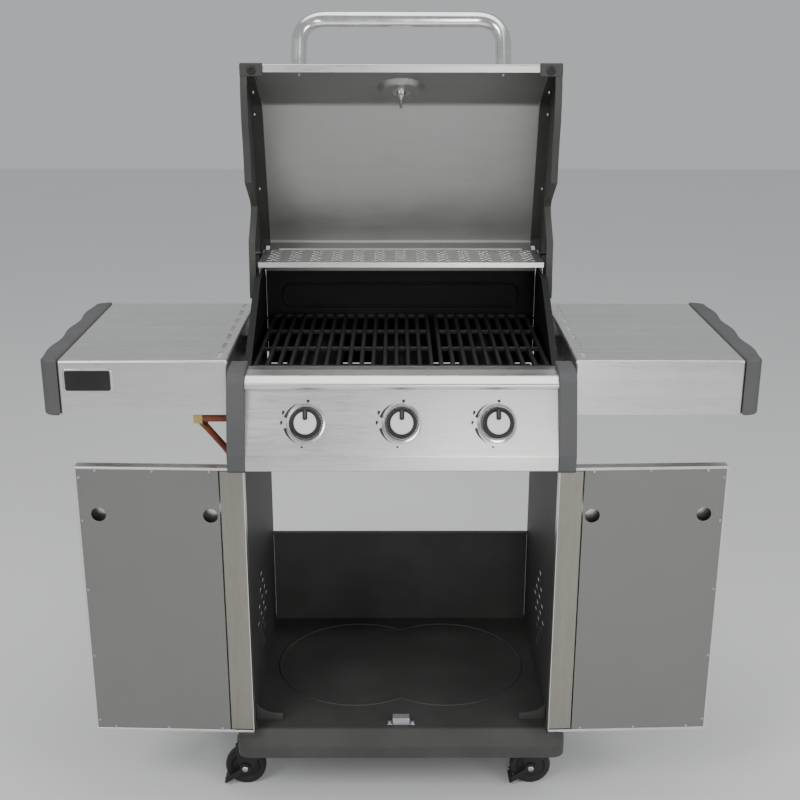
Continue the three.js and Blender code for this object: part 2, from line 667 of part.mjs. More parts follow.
function gasManifold() {
  const [pipeY, pipeZ] = MANIFOLD;
  const elbow = (y, z) => block([-224, -208], [y - 9, y + 9], [z - 9, z + 9]);
  const valves = KNOB_X.flatMap((x) => [
    onFace(new THREE.BoxGeometry(26, 26, 26).translate(0, VALVE_FRONT - 13, 0), x),
    onFace(new THREE.BoxGeometry(16, 24, 16).translate(0, VALVE_FRONT - 34, 0), x),
    block([x - 6, x + 6], [-16, -2], [735, THROAT_Z + 6]),
    rod('y', 5, -8, 31, [x, THROAT_Z], 8),
  ]);
  const bores = KNOB_X.map((x) => onFace(
    new THREE.CylinderGeometry(VALVE_STEM_RADIUS + PLAY, VALVE_STEM_RADIUS + PLAY, 30, 12).translate(0, VALVE_FRONT, 0), x,
  ));
  const pipes = join(
    rod('x', 9, -216, 200, MANIFOLD),
    elbow(pipeY, pipeZ),
    rod('y', PIPE_RADIUS, pipeY, INLET[0], [-216, INLET[1]]),
    elbow(...INLET),
    rod('x', PIPE_RADIUS, -276, -216, INLET),
  );
  return cut(join(pipes, ...valves), ...bores);
}

// Heights from the panel's face: the stem reaches into the valve behind and the knob in front.
function valveStem() {
  return new THREE.CylinderGeometry(VALVE_STEM_RADIUS, VALVE_STEM_RADIUS, 52, 12).translate(0, -6, 0);
}

function knob() {
  const [base, rimTop, top] = [5.5, 23, 27];
  const bore = VALVE_STEM_RADIUS + GAP;
  const body = turned([
    [bore, base], [KNOB_RADIUS, base], [KNOB_RADIUS, rimTop - 2], [KNOB_RADIUS - 2, rimTop],
    [KNOB_RADIUS - 5, rimTop], [KNOB_RADIUS - 7, top], [0, top], [0, 21], [bore, 21], [bore, base],
  ]);
  return join(body, block([-3, 3], [top - 1, top + 2], [-15, 15]));
}

// The valve nut at the cabinet's side, a short pipe, and an elbow whose spigot holds the hose.
function hoseFitting() {
  const [y, z] = INLET;
  const spigot = new THREE.Vector3(...HOSE_POINTS[0]).sub(new THREE.Vector3(ELBOW_X, y, z));
  const length = spigot.length() - GAP;
  const turn = new THREE.Quaternion().setFromUnitVectors(Y, spigot.normalize());
  const barb = new THREE.CylinderGeometry(7, 7, length, 8).translate(0, length / 2, 0).applyQuaternion(turn);
  return join(
    block([-292, -276 - GAP], [y - 9, y + 9], [z - 9, z + 9]),
    rod('z', 4, z - 20, z, [-284, y], 6),
    rod('x', HOSE_RADIUS, ELBOW_X, -280, [y, z], 12),
    block([ELBOW_X - 7.5, ELBOW_X + 7.5], [y - 7.5, y + 7.5], [z - 7.5, z + 7.5]),
    barb.translate(ELBOW_X, y, z),
  );
}

function gasHose() {
  const curve = new THREE.CatmullRomCurve3(HOSE_POINTS.map((point) => new THREE.Vector3(...point)), false, 'centripetal');
  return tube(curve, HOSE_RADIUS, 8, 36);
}

// A gas regulator about its own Y axis, hose spigot up, cylinder nut down.
function regulator() {
  return turned([
    [0, 0], [5, 0], [5, -14], [12, -16], [26, -22], [29, -26], [29, -40], [26, -44], [14, -48], [14, -66], [0, -66],
    [0, 0],
  ], 16);
}

piece('control_panel', controlPanel(), STAINLESS);
piece('panel_cap_left', panelCap(-1), CAP_PLASTIC);
piece('panel_cap_right', panelCap(1), CAP_PLASTIC);
piece('gas_manifold', gasManifold(), BRASS);
KNOB_X.forEach((x, i) => {
  facePanel(piece(`valve_stem_${i + 1}`, valveStem(), BRASS), x);
  facePanel(piece(`knob_${i + 1}`, knob(), BLACK_PLASTIC), x);
});
piece('hose_fitting', hoseFitting(), BRASS);
piece('gas_hose', gasHose(), HOSE_RUBBER);
const hoseEnd = HOSE_POINTS[HOSE_POINTS.length - 1];
const tank = piece('regulator', regulator(), REGULATOR_CAST);
tank.rotation.x = 90 * DEG;
tank.position.set(hoseEnd[0], hoseEnd[1], hoseEnd[2] - GAP);

// ---------------------------------------------------------------- lid
// Everything of the lid is drawn closed, then turned open about its hinge.

const FRONT_RUN = new THREE.Vector2(LID_KNEE[0] - LID_RIM[0], LID_KNEE[1] - LID_RIM[1]).normalize();
const FRONT_TILT = Math.atan2(FRONT_RUN.x, FRONT_RUN.y);

// A place on the lid's front: its own Y axis comes out of the front, up metres the front from the rim.
function onLidFront(geometry, up) {
  const turn = new THREE.Matrix4().makeBasis(
    X,
    new THREE.Vector3(0, -FRONT_RUN.y, FRONT_RUN.x),
    new THREE.Vector3(0, -FRONT_RUN.x, -FRONT_RUN.y),
  );
  geometry.applyMatrix4(turn);
  return geometry.translate(0, LID_RIM[0] + up * FRONT_RUN.x, LID_RIM[1] + up * FRONT_RUN.y);
}

function lidShell() {
  const outer = [
    [LID_RIM[0] + 14, LID_RIM[1] - 1], LID_RIM, [LID_KNEE[0] - 4, LID_KNEE[1] - 8.5],
    [LID_KNEE[0] + 1, LID_KNEE[1] - 2], [LID_KNEE[0] + 9, LID_KNEE[1] + 2.5],
    [LID_CROWN[0] - 9, LID_CROWN[1] - 1.6], [LID_CROWN[0] - 2, LID_CROWN[1] - 1.5],
    [LID_CROWN[0] + 3, LID_CROWN[1] - 7], LID_TAIL,
  ];
  const sheet = push('x', bent(outer, -SKIN), -LID_SHELL_HALF, LID_SHELL_HALF);
  const dishHole = onLidFront(new THREE.CylinderGeometry(DISH_RADIUS, DISH_RADIUS, 20, 20), DIAL_UP);
  const dish = onLidFront(turned([
    [DISH_RADIUS + 1.5, 0], [DISH_RADIUS - 1, 0], [24, -9], [9, -9], [9, -9 - SKIN], [24.5, -9 - SKIN],
    [DISH_RADIUS - 0.5, -SKIN], [DISH_RADIUS + 1.5, -SKIN], [DISH_RADIUS + 1.5, 0],
  ], 20), DIAL_UP);
  const vent = block([-238, 238], [360, 420], [1016, 1030]);
  return join(cut(sheet, dishHole, vent), dish);
}

// A cheek: an outer plate, a deep rim where the shell joins it and a shallow rim below.
function lidCheek(side) {
  const front = [LID_RIM, [LID_KNEE[0] - 4, LID_KNEE[1] - 8.5], [LID_KNEE[0] + 2, LID_KNEE[1]],
    [LID_KNEE[0] + 9, LID_KNEE[1] + 4], [LID_CROWN[0] - 7, LID_CROWN[1] + 1], [LID_CROWN[0] + 6, LID_CROWN[1] - 3]];
  const back = [[432, 966], [448, 925], [448, 857]];
  const below = [[436, 854], [404, 858], [344, 861], [309, 898], [298, 908], [287, 912], [275, 904],
    [236, 835], [200, 832], [167, 827], [130, 818], [101, 816], [70, 817]];
  const plate = cut(
    push('x', [...front, ...back, ...below], LID_HALF - 2, LID_HALF),
    rod('x', LID_PIN_RADIUS + PLAY, 200, 300, LID_HINGE),
  );
  const deep = push('x', bent(front, -3), LID_SHELL_HALF + GAP, LID_HALF - 1);
  const shallow = push('x', bent([front[5], ...back, ...below, LID_RIM], -3), FIREBOX_HALF + 3, LID_HALF - 1);
  return onSide(side, join(plate, deep, shallow));
}

function lidHingePin(side) {
  const inside = FIREBOX_HALF - SHEET - GAP;
  return onSide(side, join(
    rod('x', LID_PIN_RADIUS, inside - 2, LID_HALF + 1, LID_HINGE),
    rod('x', 7, LID_HALF + GAP, LID_HALF + 3.5, LID_HINGE, 8),
    rod('x', 7, inside - 3, inside, LID_HINGE, 8),
  ));
}

// The bar handle, drawn standing on a flat lid: X across, Y out of the lid.
function lidHandle() {
  const [half, reach, bend] = [HANDLE_LEGS / 2, HANDLE_REACH, HANDLE_BEND];
  const corner = (sx) => {
    const run = new THREE.CubicBezierCurve3();
    const k = bend * 0.448;
    run.v0.set(sx * half, reach - bend, 0);
    run.v1.set(sx * half, reach - k, 0);
    run.v2.set(sx * (half - k), reach, 0);
    run.v3.set(sx * (half - bend), reach, 0);
    return run;
  };
  const left = corner(-1);
  const right = corner(1);
  const path = new THREE.CurvePath();
  path.add(new THREE.LineCurve3(new THREE.Vector3(-half, 2, 0), left.v0));
  path.add(left);
  path.add(new THREE.LineCurve3(left.v3, right.v3));
  path.add(new THREE.CubicBezierCurve3(right.v3, right.v2, right.v1, right.v0));
  path.add(new THREE.LineCurve3(right.v0, new THREE.Vector3(half, 2, 0)));
  const feet = [-half, half].map((x) => rod('y', 22, GAP, 5, [x, 0], 16));
  return onLidFront(join(tube(path, HANDLE_RADIUS, 10, 28), ...feet), HANDLE_UP);
}

// The lid thermometer: a dial in the dish and a probe through it.
function thermometer() {
  return onLidFront(turned([
    [0, -42], [2.5, -42], [2.5, -20], [8, -20], [8, -8.6], [23, -8.6], [29, -5.4], [29, 1], [26, 3],
    [0, 3], [0, -42],
  ], 16), DIAL_UP);
}

const lid = new THREE.Group();
const lidDrawnClosed = new THREE.Group();
lid.position.set(0, ...LID_HINGE);
lid.rotation.x = -LID_OPEN * DEG;
lidDrawnClosed.position.set(0, -LID_HINGE[0], -LID_HINGE[1]);
lid.add(lidDrawnClosed);
grill.add(lid);
piece('lid_shell', lidShell(), STAINLESS, lidDrawnClosed);
piece('lid_handle', lidHandle(), CHROME, lidDrawnClosed);
piece('thermometer', thermometer(), CHROME, lidDrawnClosed);
for (const [name, side] of Object.entries(SIDES)) {
  piece(`lid_cheek_${name}`, lidCheek(side), CHARCOAL, lidDrawnClosed);
  piece(`lid_hinge_pin_${name}`, lidHingePin(side), ALUMINISED);
}

// ---------------------------------------------------------------- doors
// A door is drawn closed, with X = 0 at its pin and X growing towards the free edge.

const DOOR_REACH = DOOR_PIN_X - DOOR_MEETING_GAP / 2;

function doorSkin() {
  const [x0, x1] = [-DOOR_TAIL, DOOR_REACH];
  const half = DOOR_DEPTH / 2;
  const pan = cut(
    block([x0, x1], [-half, half], [DOOR_BOTTOM, DOOR_TOP]),
    block([x0 + SKIN, x1 - SKIN], [-half + SKIN, half + 1], [DOOR_BOTTOM + SKIN, DOOR_TOP - SKIN]),
  );
  const strip = block([x0, LINER_START - 2], [half - SKIN, half], [DOOR_BOTTOM, DOOR_TOP]);
  const pin = (z0, z1) => rod('z', DOOR_PIN_RADIUS, z0, z1, [0, 0]);
  return join(pan, strip, pin(DOOR_BOTTOM - 4.5, DOOR_BOTTOM + 2), pin(DOOR_TOP - 2, DOOR_TOP + 5.5));
}

function doorLiner() {
  const [x0, x1] = [LINER_START, DOOR_REACH - SKIN - GAP];
  const [z0, z1] = [DOOR_BOTTOM + SKIN + GAP, DOOR_TOP - SKIN - GAP];
  const [y0, y1] = [DOOR_DEPTH / 2 - SKIN, DOOR_DEPTH / 2];
  const outline = [[x0, z0], [x1, z0], [x1, z1], [x0, z1]];
  const holes = DOOR_HANDLE_HOLES.map((x) => rod('y', 12.5, y0 - 5, y1 + 5, [x, DOOR_HANDLE_Z], 20));
  return join(
    cut(push('y', outline, y0, y1), ...holes),
    block([x0, x1], [y0 - 6, y1], [z0, z0 + SKIN]),
    block([x0, x1], [y0 - 6, y1], [z1 - SKIN, z1]),
  );
}

function doorHandle() {
  const front = -DOOR_DEPTH / 2 - GAP;
  const posts = DOOR_HANDLE_HOLES.map((x) => rod('y', 6, front - 38, front, [x, DOOR_HANDLE_Z], 10));
  const bar = rod('x', 9, DOOR_HANDLE_HOLES[0] - 20, DOOR_HANDLE_HOLES[1] + 14, [front - 38, DOOR_HANDLE_Z], 16);
  return join(bar, ...posts);
}

for (const [name, side] of Object.entries(SIDES)) {
  const door = new THREE.Group();
  door.position.set(side * DOOR_PIN_X, -DOOR_DEPTH / 2, 0);
  door.rotation.z = side * DOOR_OPEN * DEG;
  grill.add(door);
  piece(`door_${name}_skin`, onSide(-side, doorSkin()), STAINLESS, door);
  piece(`door_${name}_liner`, onSide(-side, doorLiner()), LINER_STEEL, door);
  piece(`door_${name}_handle`, onSide(-side, doorHandle()), CHROME, door);
}

// ---------------------------------------------------------------- origin
// The origin is the middle of the grill's footprint. The free hose and its regulator don't count.

const CORD = ['hose_fitting', 'gas_hose', 'regulator'];
grill.updateMatrixWorld(true);
const footprint = new THREE.Box3();
for (const mesh of grill.getObjectsByProperty('isMesh', true)) {
  if (!CORD.includes(mesh.name)) footprint.expandByObject(mesh, true);
}
const middle = footprint.getCenter(new THREE.Vector3());
grill.position.set(-middle.x, -middle.y, -footprint.min.z);

export default grill;
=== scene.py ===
# %% [markdown]
# # A three-burner gas grill on a cabinet trolley
# The engineering model gives every part its place and its joint. This lesson loads it as a fixed frame
# and dresses it: soft edges, rolled noses, knurling, perforated sheet, brushed steel and cast iron.
# Lengths are written in millimetres as a maker would, from the shelves' front edge and the floor.

# %% Load the frame
import json
import math
import bpy
import bmesh
import numpy as np
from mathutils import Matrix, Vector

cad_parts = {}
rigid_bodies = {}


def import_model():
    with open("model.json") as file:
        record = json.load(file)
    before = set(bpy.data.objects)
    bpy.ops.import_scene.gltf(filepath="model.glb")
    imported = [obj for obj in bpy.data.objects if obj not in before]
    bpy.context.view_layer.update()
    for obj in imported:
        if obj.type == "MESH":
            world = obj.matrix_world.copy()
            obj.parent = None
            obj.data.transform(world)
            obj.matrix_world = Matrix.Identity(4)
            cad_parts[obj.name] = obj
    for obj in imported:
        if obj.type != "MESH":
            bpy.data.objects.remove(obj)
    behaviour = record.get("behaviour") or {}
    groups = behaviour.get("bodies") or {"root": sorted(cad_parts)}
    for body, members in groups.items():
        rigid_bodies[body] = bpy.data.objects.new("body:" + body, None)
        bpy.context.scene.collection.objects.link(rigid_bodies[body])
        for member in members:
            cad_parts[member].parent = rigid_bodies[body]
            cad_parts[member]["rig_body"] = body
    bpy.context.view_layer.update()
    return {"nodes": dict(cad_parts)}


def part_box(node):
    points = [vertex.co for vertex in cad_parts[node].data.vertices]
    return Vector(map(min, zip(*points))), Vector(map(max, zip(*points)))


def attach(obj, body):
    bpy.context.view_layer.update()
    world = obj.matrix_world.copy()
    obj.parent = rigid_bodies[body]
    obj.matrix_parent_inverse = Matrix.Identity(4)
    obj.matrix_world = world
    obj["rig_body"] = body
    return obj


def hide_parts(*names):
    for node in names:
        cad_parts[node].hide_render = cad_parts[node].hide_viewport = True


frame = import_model()
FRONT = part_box("shelf_left")[0][1]


def metres(points):
    """Millimetres from the shelves' front edge and the floor, to metres in the grill's frame."""
    return np.asarray(points, float) / 1000 + np.array([0, FRONT, 0])


# %% [markdown]
# ## Camera, floor and light
# The cook's eye stands 1.8 m in front of the shelves and 1.37 m up, looking down at the open cabinet.
# Stainless steel shows what surrounds it, so the light is a few large soft panels and a pale sky.

# %% Camera
camera = bpy.data.objects.new("camera", bpy.data.cameras.new("camera"))
bpy.context.scene.collection.objects.link(camera)
camera.location = (-0.010, FRONT - 1.824, 1.370)
camera.rotation_euler = (math.radians(90 - 18.17), math.radians(-0.06), math.radians(-0.21))
camera.data.lens, camera.data.sensor_width = 53.01, 36
bpy.context.scene.camera = camera
print("camera", [round(v, 3) for v in camera.location])


# %% Lamps and sky
def lamp(name, place, aim, size, power, tint=(1, 1, 1)):
    """A rectangular soft panel at place that faces the point aim."""
    light = bpy.data.lights.new(name, "AREA")
    light.shape, light.size, light.size_y = "RECTANGLE", *size
    light.energy, light.color = power, tint
    panel = bpy.data.objects.new(name, light)
    bpy.context.scene.collection.objects.link(panel)
    panel.location = place
    out = np.array(place, float) - np.array(aim, float)
    panel.rotation_euler = (math.acos(out[2] / np.linalg.norm(out)), 0, math.atan2(out[0], -out[1]))
    return panel


lamp("key", (-1.7, -2.3, 2.6), (0, 0, 0.7), (1.2, 1.6), 42)
lamp("fill", (2.1, -1.9, 1.9), (0, 0, 0.7), (0.9, 1.8), 26)
lamp("top", (0.1, 0.1, 3.0), (0, 0, 0.8), (2.2, 1.6), 26)
lamp("strip", (0.35, -2.6, 1.0), (0.1, 0, 0.7), (0.35, 1.6), 10)
world = bpy.data.worlds.new("studio")
bpy.context.scene.world = world
world.use_nodes = True
sky = world.node_tree.nodes["Background"]
sky.inputs["Color"].default_value, sky.inputs["Strength"].default_value = (0.86, 0.88, 0.9, 1), 0.55


# %% [markdown]
# ## Surfaces from numbers
# Every new piece is an array of points with two directions: round an outline and along a path, or round
# an axis and up a profile. A few small helpers turn such arrays into closed meshes.

# %% Grids into meshes
def skin(points, around=False, along=False, caps=False):
    """Faces of a grid (rows, columns, 3). around joins the last column to the first, along the last
    row to the first, and caps closes the first and last row with one flat face each."""
    points = np.asarray(points, float)
    rows, columns = points.shape[:2]
    spot = np.arange(rows * columns).reshape(rows, columns)
    spot = np.concatenate([spot, spot[:, :1]], 1) if around else spot
    spot = np.concatenate([spot, spot[:1]], 0) if along else spot
    quads = np.stack([spot[:-1, :-1], spot[:-1, 1:], spot[1:, 1:], spot[1:, :-1]], -1).reshape(-1, 4)
    ends = [spot[0, :columns][::-1], spot[-1, :columns]] if caps else []
    return points.reshape(-1, 3), [f.tolist() for f in quads] + [e.tolist() for e in ends]


def together(*parts):
    """One list of corners and faces out of several."""
    corners, faces, start = [], [], 0
    for spots, lids in parts:
        corners.append(spots)
        faces += [[i + start for i in face] for face in lids]
        start += len(spots)
    return np.concatenate(corners), faces


def bare_object(name, part):
    """An object from corners in metres and faces, with doubles merged and normals outwards."""
    mesh = bpy.data.meshes.new(name)
    mesh.from_pydata(part[0].tolist(), [], part[1])
    work = bmesh.new()
    work.from_mesh(mesh)
    bmesh.ops.remove_doubles(work, verts=work.verts, dist=1e-6)
    bmesh.ops.dissolve_degenerate(work, dist=1e-7, edges=work.edges)
    bmesh.ops.delete(work, geom=[e for e in work.edges if not e.link_faces], context="EDGES")
    bmesh.ops.recalc_face_normals(work, faces=work.faces)
    work.to_mesh(mesh)
    work.free()
    thing = bpy.data.objects.new(name, mesh)
    bpy.context.scene.collection.objects.link(thing)
    return thing


def soften(thing, width, segments=2, angle=30):
    """Rounds the sharp edges by width millimetres, as a folded or cast edge is."""
    bevel = thing.modifiers.new("soft edges", "BEVEL")
    bevel.width, bevel.segments, bevel.limit_method = width / 1000, segments, "ANGLE"
    bevel.angle_limit, bevel.use_clamp_overlap = math.radians(angle), True
    bevel.miter_outer = "MITER_ARC"


def bake(thing):
    """Puts the result of the live modifiers into the mesh."""
    graph = bpy.context.evaluated_depsgraph_get()
    graph.update()
    finished = bpy.data.meshes.new_from_object(thing.evaluated_get(graph))
    thing.modifiers.clear()
    thing.data = finished


def carve(thing, tool):
    """Cuts a closed tool shape out of a closed piece."""
    cutter = bare_object("cutter", tool)
    cut = thing.modifiers.new("cut", "BOOLEAN")
    cut.object, cut.operation, cut.solver = cutter, "DIFFERENCE", "EXACT"
    bake(thing)
    bpy.data.objects.remove(cutter)


def finish(thing, material, body, replaces=(), smooth=35):
    """Shades, paints and hangs a piece on its body."""
    thing.data.materials.clear()
    for one in material if isinstance(material, (list, tuple)) else [material]:
        thing.data.materials.append(one)
    thing.data.shade_smooth()
    thing.data.set_sharp_from_angle(angle=math.radians(smooth))
    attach(thing, body)
    if replaces:
        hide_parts(*replaces)
    even = thing.modifiers.new("even shading", "WEIGHTED_NORMAL")
    even.mode, even.weight, even.keep_sharp = "FACE_AREA", 60, True
    MADE.append(thing)
    return thing


MADE = []


# %% Outlines and profiles
def rounded(points, radius, steps=5, closed=False):
    """Rounds each corner p of a flat outline: the curve (1-t)^2 a + 2t(1-t) p + t^2 b between the two
    points a and b that lie radius * tan(half the turn) before and after the corner."""
    p = np.asarray(points, float)
    before = np.roll(p, 1, 0) - p
    after = np.roll(p, -1, 0) - p
    reach_before, reach_after = np.linalg.norm(before, axis=1), np.linalg.norm(after, axis=1)
    before, after = before / reach_before[:, None], after / reach_after[:, None]
    turn = np.pi - np.arccos(np.clip((before * after).sum(1), -1, 1))
    pull = np.broadcast_to(np.asarray(radius, float), turn.shape) * np.tan(turn / 2)
    if not closed:
        pull = np.where(np.isin(np.arange(len(p)), [0, len(p) - 1]), 0, pull)
    pull = np.minimum(pull, 0.49 * np.minimum(reach_before, reach_after))
    if not closed:
        pull[[0, -1]] = 0
    a, b = p + before * pull[:, None], p + after * pull[:, None]
    t = np.linspace(0, 1, steps + 1)[None, :, None]
    curve = (1 - t) ** 2 * a[:, None] + 2 * t * (1 - t) * p[:, None] + t ** 2 * b[:, None]
    flat = curve.reshape(-1, 2)
    keep = np.r_[True, np.linalg.norm(np.diff(flat, axis=0), axis=1) > 1e-6]
    return flat[keep]


def shifted(line, distance):
    """A line moved sideways to its left by distance, mitred at its corners."""
    run = np.diff(line, axis=0)
    run /= np.linalg.norm(run, axis=1)[:, None]
    left = np.stack([-run[:, 1], run[:, 0]], 1)
    before, after = np.vstack([left[:1], left]), np.vstack([left, left[-1:]])
    return line + (before + after) * distance / (1 + (before * after).sum(1))[:, None]


def folded(points, thickness, radius, steps=5):
    """The closed section of a bent sheet: a rounded line and its shifted copy, run back."""
    line = rounded(points, radius, steps)
    return np.vstack([line, shifted(line, thickness)[::-1]])


def box_outline(x, y, radius, steps=6):
    """A rectangle with rounded corners."""
    return rounded([(x[0], y[0]), (x[1], y[0]), (x[1], y[1]), (x[0], y[1])], radius, steps, True)


def pushed_x(section, x0, x1):
    """A flat (y, z) section carried from x0 to x1, closed at both ends."""
    rows = [np.column_stack([np.full(len(section), x), section]) for x in (x0, x1)]
    return skin(np.array(rows), around=True, caps=True)


def pushed_z(outline, z0, z1):
    """A flat (x, y) outline carried from z0 to z1, closed at both ends."""
    rows = [np.column_stack([outline, np.full(len(outline), z)]) for z in (z0, z1)]
    return skin(np.array(rows), around=True, caps=True)


def lofted(rings):
    """A closed skin through (outline, z) rings of equal length."""
    rows = [np.column_stack([outline, np.full(len(outline), z)]) for outline, z in rings]
    return skin(np.array(rows), around=True, caps=True)


def block(x, y, z):
    """A box between three pairs of limits."""
    return pushed_z(np.array([(x[0], y[0]), (x[1], y[0]), (x[1], y[1]), (x[0], y[1])]), *z)


def turned(profile, steps=48, wave=None):
    """A closed profile of (radius, height) points turned about the height axis, as (x, y, height).
    wave(angle, radius, height) may add to the radius, for knurls and lugs."""
    p = np.asarray(profile, float)
    a = np.linspace(0, 2 * np.pi, steps, endpoint=False)[:, None]
    r, h = p[None, :, 0], p[None, :, 1] + 0 * a
    r = r + (wave(a, r, h) if wave else 0 * a)
    whole = p[0, 0] > 1e-6 or p[-1, 0] > 1e-6
    return skin(np.stack([r * np.cos(a), r * np.sin(a), h], -1), around=whole, along=True)


def tube(path, radius, sides=20, up=(0, 0, 1), caps=True):
    """A round section carried along a path: centre + radius * (cos a * side + sin a * lift), where
    side is square to the path's run and to up, and lift is square to both."""
    path = np.asarray(path, float)
    run = np.gradient(path, axis=0)
    run /= np.linalg.norm(run, axis=1)[:, None]
    side = np.cross(run, np.asarray(up, float))
    side /= np.linalg.norm(side, axis=1)[:, None]
    lift = np.cross(side, run)
    a = np.linspace(0, 2 * np.pi, sides, endpoint=False)[None, :, None]
    r = np.broadcast_to(np.asarray(radius, float), (len(path),))[:, None, None]
    rings = path[:, None] + r * (np.cos(a) * side[:, None] + np.sin(a) * lift[:, None])
    return skin(rings, around=True, caps=caps)


def smooth_path(points, count):
    """A cubic through the points, by blending each gap's ends with their slopes."""
    p = np.asarray(points, float)
    knots = np.r_[0, np.cumsum(np.sqrt(np.linalg.norm(np.diff(p, axis=0), axis=1)))]
    slope = np.gradient(p, knots, axis=0)
    s = np.linspace(0, knots[-1], count)
    i = np.clip(np.searchsorted(knots, s, side="right") - 1, 0, len(p) - 2)
    gap = (knots[i + 1] - knots[i])[:, None]
    t = ((s - knots[i])[:, None]) / gap
    return ((1 + 2 * t) * (1 - t) ** 2 * p[i] + t * (1 - t) ** 2 * gap * slope[i]
            + t * t * (3 - 2 * t) * p[i + 1] + t * t * (t - 1) * gap * slope[i + 1])


def moved(part, change):
    """The same faces with every corner put through change(points)."""
    return change(part[0]), part[1]


def real(part):
    """A part in maker's millimetres, put into the grill's frame."""
    return moved(part, metres)


def made(name, part, material, body, slot, replaces=(), smooth=35, edge=0):
    """A finished piece from a part in maker's millimetres, its edges rounded by edge."""
    thing = bare_object(name, real(part))
    if edge:
        soften(thing, edge)
    return finish(thing, material, body, replaces, smooth)


def mirrored(part, s):
    """The part itself for the right side, s = 1, or its mirror image for the left, s = -1."""
    return moved(part, lambda p: p * [s, 1, 1])


print("helpers ready")


# %% [markdown]
# ## Shader maths as plain sums
# A finish is a few sums on noise. A small class wraps a node's output, so that `noise * 0.2 + 0.3` adds
# the maths nodes by itself and a recipe can be read like arithmetic.

# %% A socket that adds up
class Wire:
    """One output of a node tree, with the arithmetic that a finish needs."""

    def __init__(self, tree, socket):
        self.tree, self.socket = tree, socket

    def sum(self, operation, a, b=None, c=None):
        return node(self.tree, "ShaderNodeMath", {"operation": operation}, {0: a, 1: b, 2: c})

    def __add__(self, other): return self.sum("ADD", self, other)
    def __radd__(self, other): return self.sum("ADD", other, self)
    def __sub__(self, other): return self.sum("SUBTRACT", self, other)
    def __rsub__(self, other): return self.sum("SUBTRACT", other, self)
    def __mul__(self, other): return self.sum("MULTIPLY", self, other)
    def __rmul__(self, other): return self.sum("MULTIPLY", other, self)
    def __pow__(self, other): return self.sum("POWER", self, other)
    def over(self, edge, blur):
        """0 below edge - blur, 1 above edge + blur, and a soft step between."""
        return node(self.tree, "ShaderNodeMapRange", {"interpolation_type": "SMOOTHSTEP"},
                    {"Value": self, "From Min": edge - blur, "From Max": edge + blur})


def node(tree, kind, settings=None, inputs=None, output=0):
    """Any node: its settings first, then its inputs as values or wires."""
    made = tree.nodes.new(kind)
    for key, value in (settings or {}).items():
        if key == "stops":
            for stop, (place, colour) in zip(made.color_ramp.elements, value):
                stop.position, stop.color = place, (*colour, 1)
        else:
            setattr(made, key, value)
    for key, value in (inputs or {}).items():
        if isinstance(value, Wire):
            tree.links.new(value.socket, made.inputs[key])
        elif value is not None:
            made.inputs[key].default_value = value
    return Wire(tree, made.outputs[output])


def noise(tree, scale, stretch=(1, 1, 1), detail=3.0, place=None, rough=0.55):
    """Cloudy noise on the piece's own coordinates, drawn out along its grain."""
    place = place or node(tree, "ShaderNodeTexCoord", output="Object")
    grain = node(tree, "ShaderNodeMapping", {"vector_type": "POINT"}, {"Vector": place, "Scale": stretch})
    inputs = {"Vector": grain, "Scale": scale, "Detail": detail, "Roughness": rough}
    return node(tree, "ShaderNodeTexNoise", {}, inputs)


def mixed(tree, factor, a, b):
    """Colour a where factor is 0 and b where it is 1."""
    return node(tree, "ShaderNodeMix", {"data_type": "RGBA"}, {0: factor, 6: a, 7: b}, output=2)


def shade(colour, by=1.0):
    return (colour[0] * by, colour[1] * by, colour[2] * by, 1)


def finish_of(name, recipe, **fixed):
    """A material whose shader takes its even values directly and its changing ones from recipe."""
    material = bpy.data.materials.new(name)
    material.use_nodes = True
    tree = material.node_tree
    shader = tree.nodes["Principled BSDF"]
    for key, value in fixed.items():
        shader.inputs[key.replace("_", " ")].default_value = value
    for key, value in recipe(tree).items():
        if key == "Bump":
            height, strength, depth = value
            inputs = {"Strength": strength, "Distance": depth, "Height": height}
            value = node(tree, "ShaderNodeBump", {}, inputs)
            key = "Normal"
        tree.links.new(value.socket, shader.inputs[key])
    return material


# %% [markdown]
# ## The finishes
# Brushed stainless is thousands of fine scratches in one direction: noise stretched some thirty times
# along the grain drives the tone, the roughness and a very shallow bump. Paint has orange peel, cast iron
# has a sandy skin, moulded caps have a leather grain, and faint clouds of dust lie over all of them.

# %% Metals
def brushed(light, dark, low, high, stretch):
    """Brushed metal between two tones and two roughnesses, its grain drawn out by stretch."""
    def recipe(tree):
        hairs = noise(tree, 900, stretch, 2.0)
        bands = noise(tree, 60, stretch, 4.0)
        smears = noise(tree, 7)
        tone = hairs * 0.45 + bands * 0.35 + smears * 0.2
        return {"Base Color": mixed(tree, tone.over(0.5, 0.28), shade(dark), shade(light)),
                "Roughness": tone.over(0.5, 0.3) * (high - low) + low + smears * 0.05,
                "Bump": (hairs * 0.6 + bands * 0.4, 0.16, 0.0004)}
    return recipe


ALONG_X, ALONG_Z = (0.03, 1, 1), (1, 1, 0.03)
STEEL, SHADED_STEEL = (0.80, 0.795, 0.78), (0.64, 0.635, 0.62)
stainless = finish_of("brushed stainless", brushed(STEEL, SHADED_STEEL, 0.20, 0.36, ALONG_X), Metallic=1.0)
stainless_up = finish_of("stainless brushed upwards", brushed(STEEL, SHADED_STEEL, 0.22, 0.38, ALONG_Z),
                         Metallic=1.0)
liner_steel = finish_of("liner steel",
                        brushed((0.255, 0.255, 0.243), (0.225, 0.225, 0.215), 0.46, 0.6, (0.25, 0.25, 0.25)),
                        Metallic=0.85)
# The door's folded hinge strip is the same stainless skin, darkened here into painted shade.
hinge_strip_shaded_steel = finish_of("hinge strip steel in painted shade",
                        brushed((0.36, 0.345, 0.30), (0.25, 0.24, 0.21), 0.3, 0.46, ALONG_Z),
                        Metallic=1.0)
lid_inside = finish_of("lid inside", brushed((0.46, 0.46, 0.45), (0.38, 0.38, 0.37), 0.36, 0.5, (0.2, 1, 1)),
                       Metallic=0.9)


